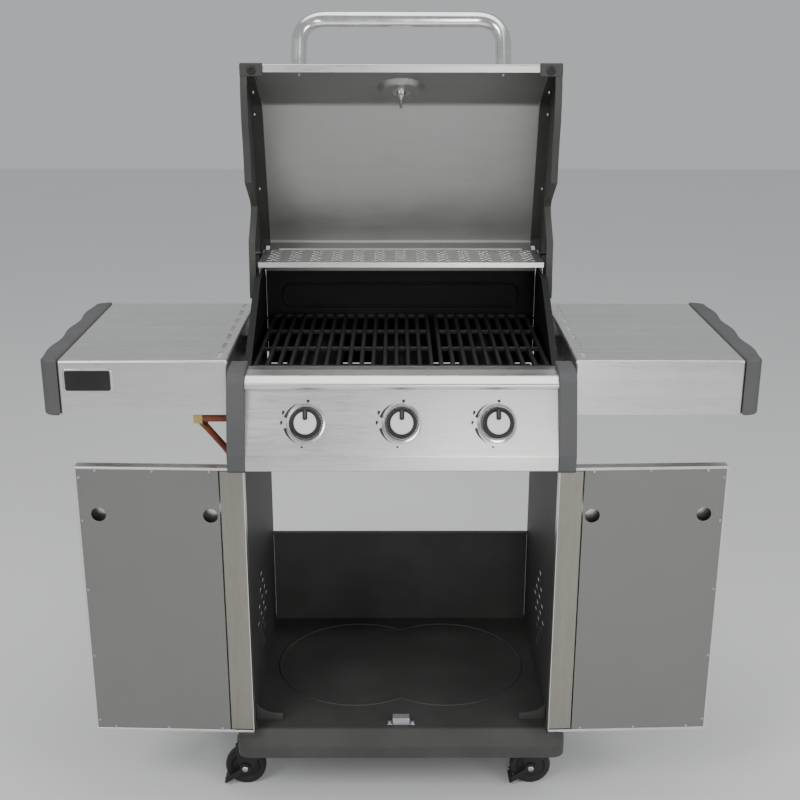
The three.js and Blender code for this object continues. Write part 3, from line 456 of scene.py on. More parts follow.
def polish(light, low, high, bump=0.05):
    """Bright metal whose roughness wanders between low and high, as handling leaves it."""
    def recipe(tree):
        rubs = noise(tree, 45, (1, 1, 1), 4.0)
        fine = noise(tree, 700, (1, 1, 1), 2.0)
        return {"Base Color": mixed(tree, rubs.over(0.5, 0.3), shade(light, 0.86), shade(light)),
                "Roughness": rubs.over(0.5, 0.35) * (high - low) + low,
                "Bump": (fine, bump, 0.0003)}
    return recipe


chrome = finish_of("polished tube", polish((0.80, 0.80, 0.79), 0.10, 0.22), Metallic=1.0)
zinc = finish_of("zinc plate", polish((0.52, 0.53, 0.54), 0.28, 0.46, 0.12), Metallic=1.0)
# The grease tray takes a far darker copy of the zinc plate finish.
dark_tray_steel = finish_of("dark tray steel", polish((0.085, 0.08, 0.072), 0.3, 0.5, 0.12), Metallic=0.7)
brass = finish_of("machined brass", polish((0.62, 0.44, 0.19), 0.24, 0.42, 0.08), Metallic=1.0)
regulator_cast = finish_of("cast regulator", polish((0.50, 0.51, 0.52), 0.38, 0.6, 0.4), Metallic=0.8)


# %% Paint, enamel, iron, plastics and rubber
def painted(base, low, high, peel, speck=0.0, dust=0.12):
    """A coat, casting or moulding: peel is the skin's relief, speck its grit and dust its haze."""
    def recipe(tree):
        skin_noise = noise(tree, 420, (1, 1, 1), 2.0)
        cloud = noise(tree, 9, (1, 1, 1), 4.0)
        grit = noise(tree, 1500, (1, 1, 1), 1.0)
        tone = cloud.over(0.52, 0.2) * dust + grit.over(0.66, 0.05) * speck
        return {"Base Color": mixed(tree, tone, shade(base), shade((0.42, 0.42, 0.41))),
                "Roughness": cloud * (high - low) + low,
                "Bump": (skin_noise + grit * 0.4, peel, 0.0006)}
    return recipe


charcoal = finish_of("charcoal paint", painted((0.046, 0.045, 0.043), 0.48, 0.62, 0.12, 0.08, 0.04),
                     Specular_IOR_Level=0.35)
enamel = finish_of("black enamel", painted((0.007, 0.0072, 0.0078), 0.42, 0.6, 0.10, 0.05, 0.015),
                   Specular_IOR_Level=0.22)
cast_iron = finish_of("cast iron", painted((0.010, 0.0105, 0.011), 0.4, 0.6, 0.55, 0.05, 0.015),
                      Specular_IOR_Level=0.4)
cap_plastic = finish_of("grained cap plastic", painted((0.078, 0.078, 0.080), 0.5, 0.62, 0.35, 0.03, 0.05),
                        Specular_IOR_Level=0.4)
black_plastic = finish_of("black plastic", painted((0.012, 0.012, 0.0125), 0.36, 0.5, 0.18, 0.02, 0.03),
                          Specular_IOR_Level=0.35)
white_plastic = finish_of("silver disc", painted((0.78, 0.78, 0.77), 0.32, 0.42, 0.05, 0.0, 0.05),
                          Metallic=0.2)
print_black = finish_of("printed mark", painted((0.016, 0.016, 0.016), 0.5, 0.6, 0.05, 0.0, 0.02))
dial_face = finish_of("dial face", painted((0.70, 0.70, 0.68), 0.4, 0.5, 0.02, 0.0, 0.05))
pointer_red = finish_of("dial pointer", painted((0.45, 0.03, 0.02), 0.35, 0.45, 0.02, 0.0, 0.0))
tyre = finish_of("caster tyre", painted((0.012, 0.012, 0.0125), 0.45, 0.66, 0.25, 0.05, 0.05),
                 Specular_IOR_Level=0.3)
hose_rubber = finish_of("gas hose rubber", painted((0.38, 0.088, 0.032), 0.42, 0.6, 0.16, 0.0, 0.08))


def floor_recipe(tree):
    wash = noise(tree, 1.3, (1, 1, 1), 2.0)
    return {"Base Color": mixed(tree, wash, shade((0.80, 0.80, 0.80)), shade((0.84, 0.84, 0.84)))}


floor_white = finish_of("studio floor", floor_recipe, Roughness=0.9)
SLOTS = {"stainless": stainless, "liner_steel": liner_steel, "charcoal_paint": charcoal,
         "black_enamel": enamel, "black_plastic": black_plastic, "zinc_steel": zinc, "brass": brass}
print(len(bpy.data.materials), "materials")

# %% The floor
floor = bare_object("floor", skin(np.array([[(-9, -9, 0), (9, -9, 0)], [(-9, 9, 0), (9, 9, 0)]], float)))
floor.data.materials.append(floor_white)

# %% [markdown]
# ## The gas hose
# A rubber hose of 11.6 mm leaves its elbow down and inwards, passes behind the panel's end cap and hangs
# down to its regulator. A tube section is carried along one smooth path through the route's points.

# %% Hose
HOSE = [(-333.9, 68.2, 704.2), (-328.4, 73.1, 694.6), (-322.9, 78, 685), (-317.4, 83, 675.4),
        (-311.9, 87.9, 665.8), (-306.4, 92.8, 656.2), (-301.5, 97.5, 646.2), (-297.6, 101.6, 635.5),
        (-294.8, 105.1, 624.3), (-293.1, 108, 612.7), (-292.5, 110.3, 600.8), (-293, 116.4, 563),
        (-294.7, 122.2, 525.1), (-297.5, 127.7, 487.3), (-301, 132.9, 449.5), (-305.1, 137.6, 411.6),
        (-309.4, 141.9, 373.8), (-313.7, 145.7, 335.9), (-317.8, 148.9, 297.9), (-321.5, 151.5, 259.8),
        (-324.4, 153.4, 221.6), (-326.3, 154.6, 183.3), (-327, 155, 145)]
hose_path = smooth_path(metres(HOSE), 220)
hose = bare_object("hose_tube", tube(hose_path, 0.0058, 24, up=(1, 0, 0)))
finish(hose, hose_rubber, "frame", ["gas_hose"], 60)
INLET_Y, INLET_Z = 60, 720
sleeve_path = np.array([(x, INLET_Y, INLET_Z) for x in np.linspace(-335, -292.5, 12)])
made("inlet_sleeve", tube(sleeve_path, 6.5, 28), hose_rubber, "frame", "hose_rubber", (), 60)
hose_length = float(np.linalg.norm(np.diff(hose_path, axis=0), axis=1).sum())
print("hose", round(hose_length, 4), "m")
regulator_profile = rounded([(0, 0), (5.2, 0), (5.2, -3), (6.4, -3.5), (6.4, -6), (5.2, -6.5), (5.2, -13),
                             (12, -15.5), (25, -21), (29, -25), (29, -31), (27.6, -32), (27.6, -34),
                             (29, -35), (29, -41), (25, -45), (15, -48), (15.5, -50), (15.5, -63),
                             (13.5, -66), (0, -66)],
                            1.2, 3)
REGULATOR_TOP = np.array(HOSE[-1]) - [0, 0, 0.3]
lugs = lambda a, r, h: np.where((h < -49) & (h > -64), 0.9 * np.cos(18 * a), 0) * (r > 14)
regulator = made("hose_regulator", moved(turned(regulator_profile, 108, lugs), lambda p: p + REGULATOR_TOP),
                 regulator_cast, "frame", "regulator_cast", ["regulator"], 40)

# %% [markdown]
# ## Folded and cast parts that keep their engineering shape
# Folded steel and castings have no sharp edge. A welded copy of the engineering solid takes a narrow
# rounded bevel, so each edge catches a thin line of light. The slotted side panels keep their cut edges.


# %% Soft-edged copies
def dressed(part, slot, width, segments=2, material=None, smooth=35, cuts=None):
    """A merged copy of an engineering part, its edges rounded by width, which then stands for it."""
    source = frame["nodes"][part]
    copy = bpy.data.objects.new(part + "_made", source.data.copy())
    bpy.context.scene.collection.objects.link(copy)
    work = bmesh.new()
    work.from_mesh(copy.data)
    bmesh.ops.remove_doubles(work, verts=work.verts, dist=2e-6)
    if width:
        bmesh.ops.dissolve_limit(work, angle_limit=math.radians(0.6), verts=work.verts, edges=work.edges)
    work.to_mesh(copy.data)
    work.free()
    if cuts:
        carve(copy, cuts)
    if width:
        soften(copy, width, segments)
    return finish(copy, material or SLOTS[slot], source["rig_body"], [part], smooth)


for name, slot, width in [
    ("rear_panel", "charcoal_paint", 0.5), ("front_crossbar", "charcoal_paint", 0.5),
    ("door_catch", "zinc_steel", 1.0),
    ("side_panel_left", "charcoal_paint", 0), ("side_panel_right", "charcoal_paint", 0),
    ("firebox_left_wall", "black_enamel", 0.5), ("firebox_right_wall", "black_enamel", 0.5),
    ("firebox_front", "black_enamel", 0.5), ("firebox_rear", "black_enamel", 0.5),
    *[(f"flame_tamer_{i}", "black_enamel", 0.5) for i in (1, 2, 3)],
    ("gas_manifold", "brass", 0.6), ("hose_fitting", "brass", 0.8),
    ("lid_cheek_left", "charcoal_paint", 0.8), ("lid_cheek_right", "charcoal_paint", 0.8),
    ("burner_1", "zinc_steel", 0.8), ("burner_2", "zinc_steel", 0.8), ("burner_3", "zinc_steel", 0.8),
    ("lid_hinge_pin_left", "zinc_steel", 0.6), ("lid_hinge_pin_right", "zinc_steel", 0.6),
    ("brake_lever_front_left", "black_plastic", 0.8), ("brake_lever_front_right", "black_plastic", 0.8),
    *[(f"caster_fork_{row}_{word}", "black_plastic", 0.6)
      for row in ("front", "rear") for word in ("left", "right")],
]:
    dressed(name, slot, width)
dressed("grease_tray", "zinc_steel", 0.5, material=dark_tray_steel)
for i in (1, 2, 3):
    frame["nodes"][f"valve_stem_{i}"].data.materials.clear()
    frame["nodes"][f"valve_stem_{i}"].data.materials.append(brass)
print(len(MADE), "pieces so far")

# %% [markdown]
# ## Base and cabinet floor
# The base is one deep-drawn pan. Its rings run up the upright band, lean back along the front slope and
# roll over a small radius onto the floor, where two overlapping circles are embossed.

# %% Base pan
CASTERS = {f"{row}_{word}": (x, y) for row, y in (("front", 58), ("rear", 362))
           for word, x in (("left", -265), ("right", 265))}


def base_ring(inset, z):
    """The pan's outline at height z, whose front leans back above its upright band."""
    lean = np.clip((z - 120) / 30, 0, 1) * 14
    return box_outline((-295 + inset, 295 - inset), (-12 + lean + inset, 425 - inset), 28 - inset, 8), z


roll = [base_ring(4 * (1 - math.cos(a)), 146 + 4 * math.sin(a)) for a in np.linspace(0, math.pi / 2, 6)]
inner_rings = [base_ring(1.5, z) for z in (148.5, 120, 98)]
outer_rings = [base_ring(0, z) for z in (98, 118, 120, 122, 134)]
pan = lofted([*inner_rings, *outer_rings, *roll])
socket = turned([(6, 100), (15, 100), (15, 149), (6, 149)], 24)
sockets = [moved(socket, lambda p, x=x, y=y: p + np.array([x, y, 0])) for x, y in CASTERS.values()]
arc = np.radians(np.linspace(-123.2, 123.2, 90))
ring_x, ring_y = 84 + 153 * np.cos(arc), 230 + 153 * np.sin(arc)
beads = [tube(np.column_stack([s * ring_x, ring_y, np.full(len(arc), 149.3)]), 2.6, 12) for s in (1, -1)]
made("base_pan_made", together(pan, *sockets), charcoal, "frame", "charcoal_paint", ["base_pan"], 30)
made("floor_bead", together(*beads), charcoal, "frame", "charcoal_paint", (), 60)

# %% Gussets and small screws
def screw(radius=3.2, height=1.8):
    """A pan-head screw: a low dome with a recess, standing up along its own third axis."""
    shares = np.array([(0, 0.45), (0.28, 0.45), (0.4, 1), (0.75, 0.82), (1, 0.25), (1, 0), (0, 0)])
    return turned(shares * [radius, height], 16)


def facing(part, place, direction):
    """Stands a part on place with its third axis along direction."""
    w = np.array(direction, float) / np.linalg.norm(direction)
    u = np.cross((0.3, 1, 0.2), w)
    u /= np.linalg.norm(u)
    return moved(part, lambda p: p @ np.array([u, np.cross(w, u), w]) + np.array(place, float))


for word, s in (("left", -1), ("right", 1)):
    bow = np.radians(np.linspace(0, 90, 12))
    hollow = np.column_stack([218 + 44 * np.cos(bow), 190 - 26 * np.sin(bow)])
    edge = np.vstack([[(262, 150.3)], hollow, [(214, 164), (214, 150.3)]])
    plate = moved(pushed_z(edge * [s, 1], 29.5, 31.0), lambda p: p[:, [0, 2, 1]])
    made(f"gusset_{word}", plate, charcoal, "frame", "charcoal_paint", edge=0.5)
catch_heads = [facing(screw(3.6, 2.2), (x, 18, 152), (0, 0, 1)) for x in (-20.5, 20.5)]
made("catch_screws", together(*catch_heads), zinc, "frame", "zinc_steel")

# %% [markdown]
# ## Casters
# Each wheel is a moulded disc: a hub, a dished web and a crowned tread, all one turned profile.

# %% Wheels
TRAIL, AXLE_Z, BOLT_Y = 24, 37.5, 18.3
half_wheel = [(4.6, -9.4), (9, -9.8), (11, -7), (24, -6), (27.5, -9.4), (33.5, -9.9), (36.8, -7.4),
              (37.5, -3.5)]
wheel_profile = rounded(half_wheel + [(r, -h) for r, h in half_wheel[::-1]], 1.6, 3, True)
for place, (x, y) in CASTERS.items():
    wheel = moved(turned(wheel_profile, 72), lambda p: p[:, [0, 2, 1]] + np.array([x - TRAIL, y, AXLE_Z]))
    made(f"wheel_{place}_made", wheel, tyre, f"wheel_{place}", "black_plastic", [f"caster_wheel_{place}"])
for place, (x, y) in CASTERS.items():
    heads = [facing(screw(5.6, 2.6), (x - TRAIL, y + side * BOLT_Y, AXLE_Z), (0, side, 0))
             for side in (-1, 1)]
    made(f"axle_bolt_{place}", together(*heads), zinc, f"caster_{place}", "zinc_steel")

# %% [markdown]
# ## Side shelves
# A shelf is a folded stainless tray, open below. Rings run up its inside, round its hem, up the apron,
# over the rolled edge and across a pressed groove to the flat middle. Seven hand slots are cut at its
# inner end, and a waved plastic cap closes the outer end.

# %% Shelves
INNER, OUTER, DEEP, SURFACE = 281, 557, 397, 838


def tray_ring(inset, z):
    return box_outline((INNER + inset, OUTER - inset), (inset, DEEP - inset), 5 - inset, 6), z


def groove_ring(inset, z):
    return box_outline((314 + inset, 529 - inset), (11 + inset, 386 - inset), 16 - inset, 6), z


def cap_outline(inset):
    """A rounded cap with three waves along its outer side: outer - 2.5 * cos(6 pi t)."""
    t = np.linspace(0, 1, 49)
    outer = OUTER + 33 - 2.5 - inset
    waves = np.column_stack([outer - 2.5 * np.cos(t * 6 * np.pi) + 0 * t, 12 + inset + t * (369 - 2 * inset)])
    turn_in = np.radians(np.linspace(-90, 0, 8))[:-1]
    front = np.column_stack([outer - 16.5 + 14 * np.cos(turn_in), -2 + inset + 14 * (1 + np.sin(turn_in))])
    back = (front * [1, -1] + [0, 393])[::-1]
    inner = OUTER + 0.3 + inset
    return np.vstack([[(inner, -2 + inset)], front, waves, back, [(inner, 399 - inset)]])


for word, s in (("left", -1), ("right", 1)):
    quarter = np.linspace(0, math.pi / 2, 6)
    edge = [tray_ring(4.5 * (1 - math.cos(a)), SURFACE - 4.5 + 4.5 * math.sin(a)) for a in quarter]
    groove = [groove_ring(inset, SURFACE - sunk)
              for inset, sunk in ((0, 0), (1.0, 0.4), (2.4, 0.8), (3.8, 0.4), (4.8, 0))]
    tray = lofted([tray_ring(1.2, SURFACE - 1.4), tray_ring(1.2, 746), tray_ring(0, 746), *edge, *groove])
    slots = [pushed_z(box_outline((294.5, 301.5), (y, y + 36), 3.45, 6), SURFACE - 8, SURFACE + 4)
             for y in range(17, 360, 57)]
    brackets = [block((262.4, INNER + 0.4), (y, y + 4), (750, 790)) for y in (80, 337)]
    top = bare_object(f"shelf_{word}_made", real(mirrored(tray, s)))
    carve(top, real(mirrored(together(*slots), s)))
    finish(top, stainless, "frame", [f"shelf_{word}"], 40)
    made(f"shelf_brackets_{word}", mirrored(together(*brackets), s), stainless, "frame", "stainless")
    over = [(cap_outline(4 * (1 - math.cos(a))), SURFACE - 2 + 4 * math.sin(a)) for a in quarter]
    under = [(cap_outline(6 * (1 - math.cos(a))), 750 - 6 * math.sin(a)) for a in quarter[::-1]]
    cap = lofted([(cap_outline(9), SURFACE - 1.5), (cap_outline(9), 746), *under, *over])
    made(f"shelf_cap_{word}_made", mirrored(cap, s), cap_plastic, "frame", "cap_plastic",
         [f"shelf_cap_{word}"], 40)
print("shelves", len(MADE))

# %% Blank nameplate
def plate_ring(inset, out, radius):
    """The plate's outline drawn in by inset, standing out of the shelf's apron."""
    return box_outline((-548 + inset, -469 - inset), (785 + inset, 824 - inset), radius, 6), out


def on_apron(part):
    return moved(part, lambda p: p[:, [0, 2, 1]] * [1, -1, 1])


rim = lofted([plate_ring(0, -0.1, 6), plate_ring(0, 1.4, 6), plate_ring(0.8, 2.0, 5.5),
              plate_ring(2.2, 2.0, 4.5), plate_ring(2.6, 1.3, 4.2)])
made("nameplate_rim", on_apron(rim), chrome, "frame", "chrome", (), 30)
face = lofted([plate_ring(2.8, 1.0, 4), plate_ring(2.8, 1.5, 4), plate_ring(3.8, 1.8, 3.4)])
made("nameplate_face", on_apron(face), black_plastic, "frame", "black_plastic", (), 30)

# %% [markdown]
# ## Firebox details and warming rack
# The rear wall carries a pressed rounded rectangle that stiffens it. The rack is thin sheet with rows
# of slots punched through, so heat reaches the food from below.

# %% Cast grates
BAR, PITCH, GRATE_EDGE, GRATE_TOP = 8, 19.6, 247.5, 815


def pushed_y(section, y0, y1):
    """A flat (x, z) section carried from y0 to y1, closed at both ends."""
    return moved(pushed_z(section, y0, y1), lambda p: p[:, [0, 2, 1]])


def cast_bar(x, wide, top):
    """The section of one bar: flat below, drawn in a little and rounded on top, as it leaves the mould."""
    half, bottom, draft = wide / 2, 806.2, 0.8
    corners = [(x - half, bottom), (x + half, bottom), (x + half - draft, top), (x - half + draft, top)]
    return rounded(corners, [0.8, 0.8, 2.2, 2.2], 4, True)


for word, s, count in (("left", -1, 16), ("right", 1, 10)):
    wide = (count - 1) * PITCH + BAR
    first = -GRATE_EDGE if s < 0 else GRATE_EDGE - wide
    bars = [pushed_y(cast_bar(first + BAR / 2 + PITCH * k, BAR, GRATE_TOP), 50.2, 409.8)
            for k in range(count)]
    lying = [pushed_z(cast_bar(y, BAR, GRATE_TOP - sunk), first + 1, first + wide - 1)
             for y, sunk in ((54, 0.4), (171.33, 1.4), (288.67, 1.4), (406, 0.4))]
    cross = [moved(bar, lambda p: p[:, [2, 0, 1]]) for bar in lying]
    made(f"grate_{word}_made", together(*bars, *cross), cast_iron, "frame", "cast_iron",
         [f"grate_{word}"], 40)

# %% Rear bead and rack
outline = box_outline((-228, 228), (828, 872), 22, 10)
outline = np.vstack([outline, outline[:1]])
spread, corners = np.linspace(0, 1, 160), np.linspace(0, 1, len(outline))
bead_x, bead_z = [np.interp(spread, corners, outline[:, k]) for k in (0, 1)]
bead = tube(np.column_stack([bead_x, np.full(160, 418.8), bead_z]), 2.6, 10, up=(0, 1, 0))
made("firebox_bead", bead, enamel, "frame", "black_enamel", (), 60)
punch = []
for group in range(13):
    for row in range(9):
        for shift in ((-6.6, 6.6) if row % 2 == 0 else (0,)):
            x, y = (group - 6) * 38.5 + shift, 272 + row * 11.2
            punch.append(pushed_z(box_outline((x - 4.6, x + 4.6), (y - 2.9, y + 2.9), 2.5, 2), 940, 952))
dressed("warming_rack", "stainless", 0.3, 1, cuts=real(together(*punch)))

# %% [markdown]
# ## Control panel and knobs
# The panel is one folded sheet with a rolled nose. Its knobs sit in chrome bezels: a knurled black skirt,
# a silver disc and a raised pointer. Printed marks show where the flame is high or low.

# %% Panel
LEAN = math.atan2(41, 102)
KNOB_X, KNOB_Z = (-153, 0, 153), 746
FACE_Y = -23 - (799 - KNOB_Z) * math.tan(LEAN)
FACE_AXES = np.array([(1, 0, 0), (0, math.sin(LEAN), math.cos(LEAN)), (0, -math.cos(LEAN), math.sin(LEAN))])


def on_panel(part, x):
    """Places (right, up along the face, out of the face) on the leaning panel at x."""
    return moved(part, lambda p: p @ FACE_AXES + np.array([x, FACE_Y, KNOB_Z]))


panel_line = [(32, 820), (6, 821.4), (-20, 819), (-36, 808), (-33.5, 799.3), (-23, 799), (-64, 697),
              (-66, 672), (-50, 672)]
panel_section = folded(panel_line, 1.2, [0, 30, 16, 7, 3, 1.6, 10, 2, 0], 6)
panel = bare_object("control_panel_made", real(pushed_x(panel_section, -250.7, 250.7)))
stem_holes = together(*[on_panel(turned([(0, -9), (6, -9), (6, 9), (0, 9)], 24), x) for x in KNOB_X])
carve(panel, real(stem_holes))
finish(panel, stainless, "frame", ["control_panel"], 30)
cap_section = rounded([(34, 814), (29.5, 822), (29.5, 829.6), (-8, 829.6), (-28, 825), (-38.5, 814),
                       (-42, 800), (-70, 700), (-70, 675), (-66, 669.4), (12, 669.4), (24, 700), (34, 745)],
                      [2, 2, 3, 20, 14, 12, 20, 10, 4, 4, 4, 10, 6], 5, True)
for word, s in (("left", -1), ("right", 1)):
    end = bare_object(f"panel_cap_{word}_made", real(pushed_x(cap_section, s * 251.0, s * 279.4)))
    soften(end, 3.2, 4, 40)
    finish(end, cap_plastic, "frame", [f"panel_cap_{word}"], 50)

# %% Knobs, bezels and marks
knob_profile = rounded([(4.4, 5.6), (23.2, 5.6), (24.6, 7), (24.6, 20.5), (23.2, 22.6), (19.2, 23),
                        (18.6, 22), (4.4, 22)], 0.7, 3, True)
knurl = lambda a, r, h: np.where(r > 23.4, 0.55 * np.cos(34 * a), 0)
disc_profile = rounded([(0, 21.5), (18.2, 21.5), (18.2, 24.6), (16.8, 26.4), (0, 26.9)], 0.8, 3)
bezel_profile = rounded([(25.9, 0.1), (32.2, 0.1), (32.2, 2.2), (30.6, 4.6), (27, 5.0), (25.9, 3.8)],
                        0.8, 4, True)


def crescent(start, end, radius, width):
    """A mark that swells from nothing to width and back along an arc, start and end in degrees."""
    t = np.linspace(0, 1, 20)
    a = np.radians(start + (end - start) * t)
    swell = width / 2 * np.clip(t * 1.02, 0, 1)
    ray = np.column_stack([np.cos(a), np.sin(a)])
    return np.vstack([(radius + swell)[:, None] * ray, ((radius - swell)[:, None] * ray)[::-1]])


def flame(x, y, size):
    """A plain pointed drop with one side licked in."""
    t = np.linspace(0, 2 * np.pi, 26, endpoint=False)
    width = np.sin(t) * np.sin(t / 2) ** 1.4
    return np.column_stack([x + size * (0.55 * width + 0.08 * np.cos(3 * t)), y - size * 0.75 * np.cos(t)])


def disc_outline(x, y, radius):
    t = np.linspace(0, 2 * np.pi, 20, endpoint=False)
    return np.column_stack([x + radius * np.cos(t), y + radius * np.sin(t)])


for i, x in enumerate(KNOB_X, 1):
    body = f"knob_{i}"
    skirt = on_panel(turned(knob_profile, 276, knurl), x)
    made(f"knob_{i}_skirt", skirt, black_plastic, body, "black_plastic", [f"knob_{i}"], 40)
    disc = on_panel(turned(disc_profile, 64), x)
    made(f"knob_{i}_disc", disc, white_plastic, body, "chrome", (), 30)
    foot = box_outline((-3.8, 3.8), (4.6, 24.2), 3.2, 4)
    grip = lofted([(foot, 21.5), (foot, 28), (box_outline((-2.9, 2.9), (5.5, 23.3), 2.5, 4), 28.8)])
    made(f"knob_{i}_grip", on_panel(grip, x), black_plastic, body, "black_plastic", (), 30)
    line = pushed_z(box_outline((-0.8, 0.8), (8, 21), 0.5, 2), 28.7, 28.95)
    made(f"knob_{i}_line", on_panel(line, x), cap_plastic, body, "chrome")
    made(f"bezel_{i}", on_panel(turned(bezel_profile, 96), x), chrome, "frame", "chrome", (), 40)
    marks = [disc_outline(3, 36.2, 2.5), disc_outline(-7, -37.5, 1.8), crescent(108, 164, 34.9, 4.6),
             crescent(248, 192, 34.9, 4.6), flame(-37, 17, 5.5), flame(-40, 1, 5)]
    print_marks = together(*[pushed_z(mark, 0.02, 0.22) for mark in marks])
    made(f"panel_marks_{i}", on_panel(print_marks, x), print_black, "frame", "black_plastic")
print("panel", len(MADE))

# %% [markdown]
# ## The lid
# The lid is drawn closed and then turned open about its hinge, as the engineering model does. Its sheet
# is one grid: the section runs up the front and over the crown, and a round dish is pressed in where
# the thermometer sits.

# %% Lid shell
RIM, KNEE = np.array([33.0, 824.0]), np.array([103.0, 973.0])
UP = (KNEE - RIM) / np.linalg.norm(KNEE - RIM)
OPEN, HINGE_Y, HINGE_Z = math.radians(-92), 377, 940


def opened(points):
    """Turns closed-lid points about the lid's hinge, which is 92 degrees back."""
    y, z = points[..., 1] - HINGE_Y, points[..., 2] - HINGE_Z
    return np.stack([points[..., 0], HINGE_Y + y * math.cos(OPEN) - z * math.sin(OPEN),
                     HINGE_Z + y * math.sin(OPEN) + z * math.cos(OPEN)], -1)


def on_lid(points, up):
    """Takes (right, up the front, out of the front) to the closed lid's front, up from its rim."""
    p = np.asarray(points, float)
    y = RIM[0] + (up + p[..., 1]) * UP[0] - p[..., 2] * UP[1]
    z = RIM[1] + (up + p[..., 1]) * UP[1] + p[..., 2] * UP[0]
    return np.stack([p[..., 0], y, z], -1)


line = rounded([(47, 823), (33, 824), (103, 973), (374, 1050), (415, 960)], [0, 2, 15, 9, 0], 8)
reach = np.r_[0, np.cumsum(np.linalg.norm(np.diff(line, axis=0), axis=1))]
DIAL_UP, HANDLE_UP = 96, 34
centre = reach[np.argmin(np.linalg.norm(line - RIM, axis=1))] + DIAL_UP
near_dish = np.arange(centre - 46, centre + 46, 2.4)
stations = np.unique(np.r_[reach, near_dish, np.linspace(0, reach[-1], 40)].round(3))
section = np.column_stack([np.interp(stations, reach, line[:, k]) for k in (0, 1)])
across = np.unique(np.r_[np.linspace(-256.7, 256.7, 30), np.arange(-45.6, 46, 2.4)].round(3))
sheet = np.empty((len(across), len(section), 3))
sheet[..., 0], sheet[..., 1:] = across[:, None], section[None]
away = np.hypot(sheet[..., 0], (stations - centre)[None, :])
depth = 8.8 * np.clip((42.5 - away) / 8, 0, 1)
sheet = sheet + depth[..., None] * np.array([0, UP[1], -UP[0]])
normal = np.cross(np.gradient(sheet, axis=0), np.gradient(sheet, axis=1))
normal /= np.linalg.norm(normal, axis=-1)[..., None]
inward = np.sign((normal * (np.array([0, 260, 850]) - sheet)).sum(-1))[..., None] * normal
closed_section = np.concatenate([sheet, (sheet + 1.2 * inward)[:, ::-1]], 1)
shell = bare_object("lid_shell_made", real(moved(skin(closed_section, around=True, caps=True), opened)))
vent = moved(block((-238, 238), (360, 420), (1016, 1030)), opened)
carve(shell, real(vent))
hollow_middle = metres(opened(np.array([[0, 260.0, 850.0]])))[0]
finish(shell, [stainless, lid_inside], "lid", ["lid_shell"], 28)
faces = shell.data.polygons
centres, normals = np.empty(len(faces) * 3), np.empty(len(faces) * 3)
faces.foreach_get("center", centres)
faces.foreach_get("normal", normals)
inside = ((hollow_middle - centres.reshape(-1, 3)) * normals.reshape(-1, 3)).sum(1) > 0.004
faces.foreach_set("material_index", inside.astype(np.int32))
print("lid shell", len(faces), "faces,", int(inside.sum()), "inside")

# %% Lid handle and thermometer
HANDLE_HALF, HANDLE_REACH = 178.5, 98
bow_corners = [(-HANDLE_HALF, 1), (-HANDLE_HALF, HANDLE_REACH), (HANDLE_HALF, HANDLE_REACH), (HANDLE_HALF, 1)]
bow = rounded(bow_corners, [0, 66, 66, 0], 22)
ends = np.linspace(0, 1, 6)[:, None]
bow = np.vstack([bow[0] + ends[:-1] * (bow[1] - bow[0]), bow[1:-1], bow[-2] + ends[1:] * (bow[-1] - bow[-2])])
keep = np.r_[True, np.linalg.norm(np.diff(bow, axis=0), axis=1) > 0.5]
bow = bow[keep]
bow_path = np.column_stack([bow[:, 0], 0 * bow[:, 0], bow[:, 1]])
bar = moved(tube(bow_path, 14, 36, up=(0, 1, 0)), lambda p: on_lid(p, HANDLE_UP))
feet = [moved(turned(rounded([(13, 0.3), (22, 0.3), (22, 3), (20, 5), (13, 5.4)], 0.8, 3, True), 40),
              lambda p, x=x: on_lid(p + np.array([x, 0, 0]), HANDLE_UP)) for x in (-HANDLE_HALF, HANDLE_HALF)]
handle = moved(together(bar, *feet), opened)
made("lid_handle_made", handle, chrome, "lid", "chrome", ["lid_handle"], 40)


def dial_piece(name, part, material, slot, replaces=(), smooth=35):
    """A piece of the thermometer, drawn about its own axis."""
    in_place = moved(part, lambda p: opened(on_lid(p, DIAL_UP)))
    return made(name, in_place, material, "lid", slot, replaces, smooth)


case_profile = rounded([(0, -42), (2.5, -41), (2.5, -24), (4.5, -23), (4.5, -20), (8.5, -20), (8.5, -11.2),
                        (23, -9), (27, -7), (29, -4.5), (29, 1.5), (27.5, 3), (25, 3), (24.5, 1.5), (0, 1.5)],
                       0.5, 3)
dial_piece("thermometer_case", turned(case_profile, 72), chrome, "chrome", ["thermometer"], 40)
face = turned([(0, 1.4), (24.4, 1.4), (24.4, 1.8), (0, 1.8)], 60)
dial_piece("thermometer_face", face, dial_face, "chrome")
ticks = []
for step in range(13):
    a = math.radians(225 - step * 22.5)
    inner, outer = (18 if step % 3 == 0 else 20), 22.8
    bar_ends = np.array([[inner, -0.35], [outer, -0.35], [outer, 0.35], [inner, 0.35]])
    turn_tick = np.array([[math.cos(a), math.sin(a)], [-math.sin(a), math.cos(a)]])
    ticks.append(pushed_z(bar_ends @ turn_tick, 1.75, 1.95))
dial_piece("thermometer_ticks", together(*ticks), print_black, "black_plastic")
pointer = np.array([[0, -1.2], [17, -0.2], [17, 0.2], [0, 1.2]]) @ np.array([[-0.7, -0.71], [0.71, -0.7]])
hub = turned([(0, 1.8), (2.2, 1.8), (2.2, 2.7), (0, 2.9)], 20)
dial_piece("thermometer_needle", together(pushed_z(pointer, 1.9, 2.3), hub), pointer_red, "black_plastic")

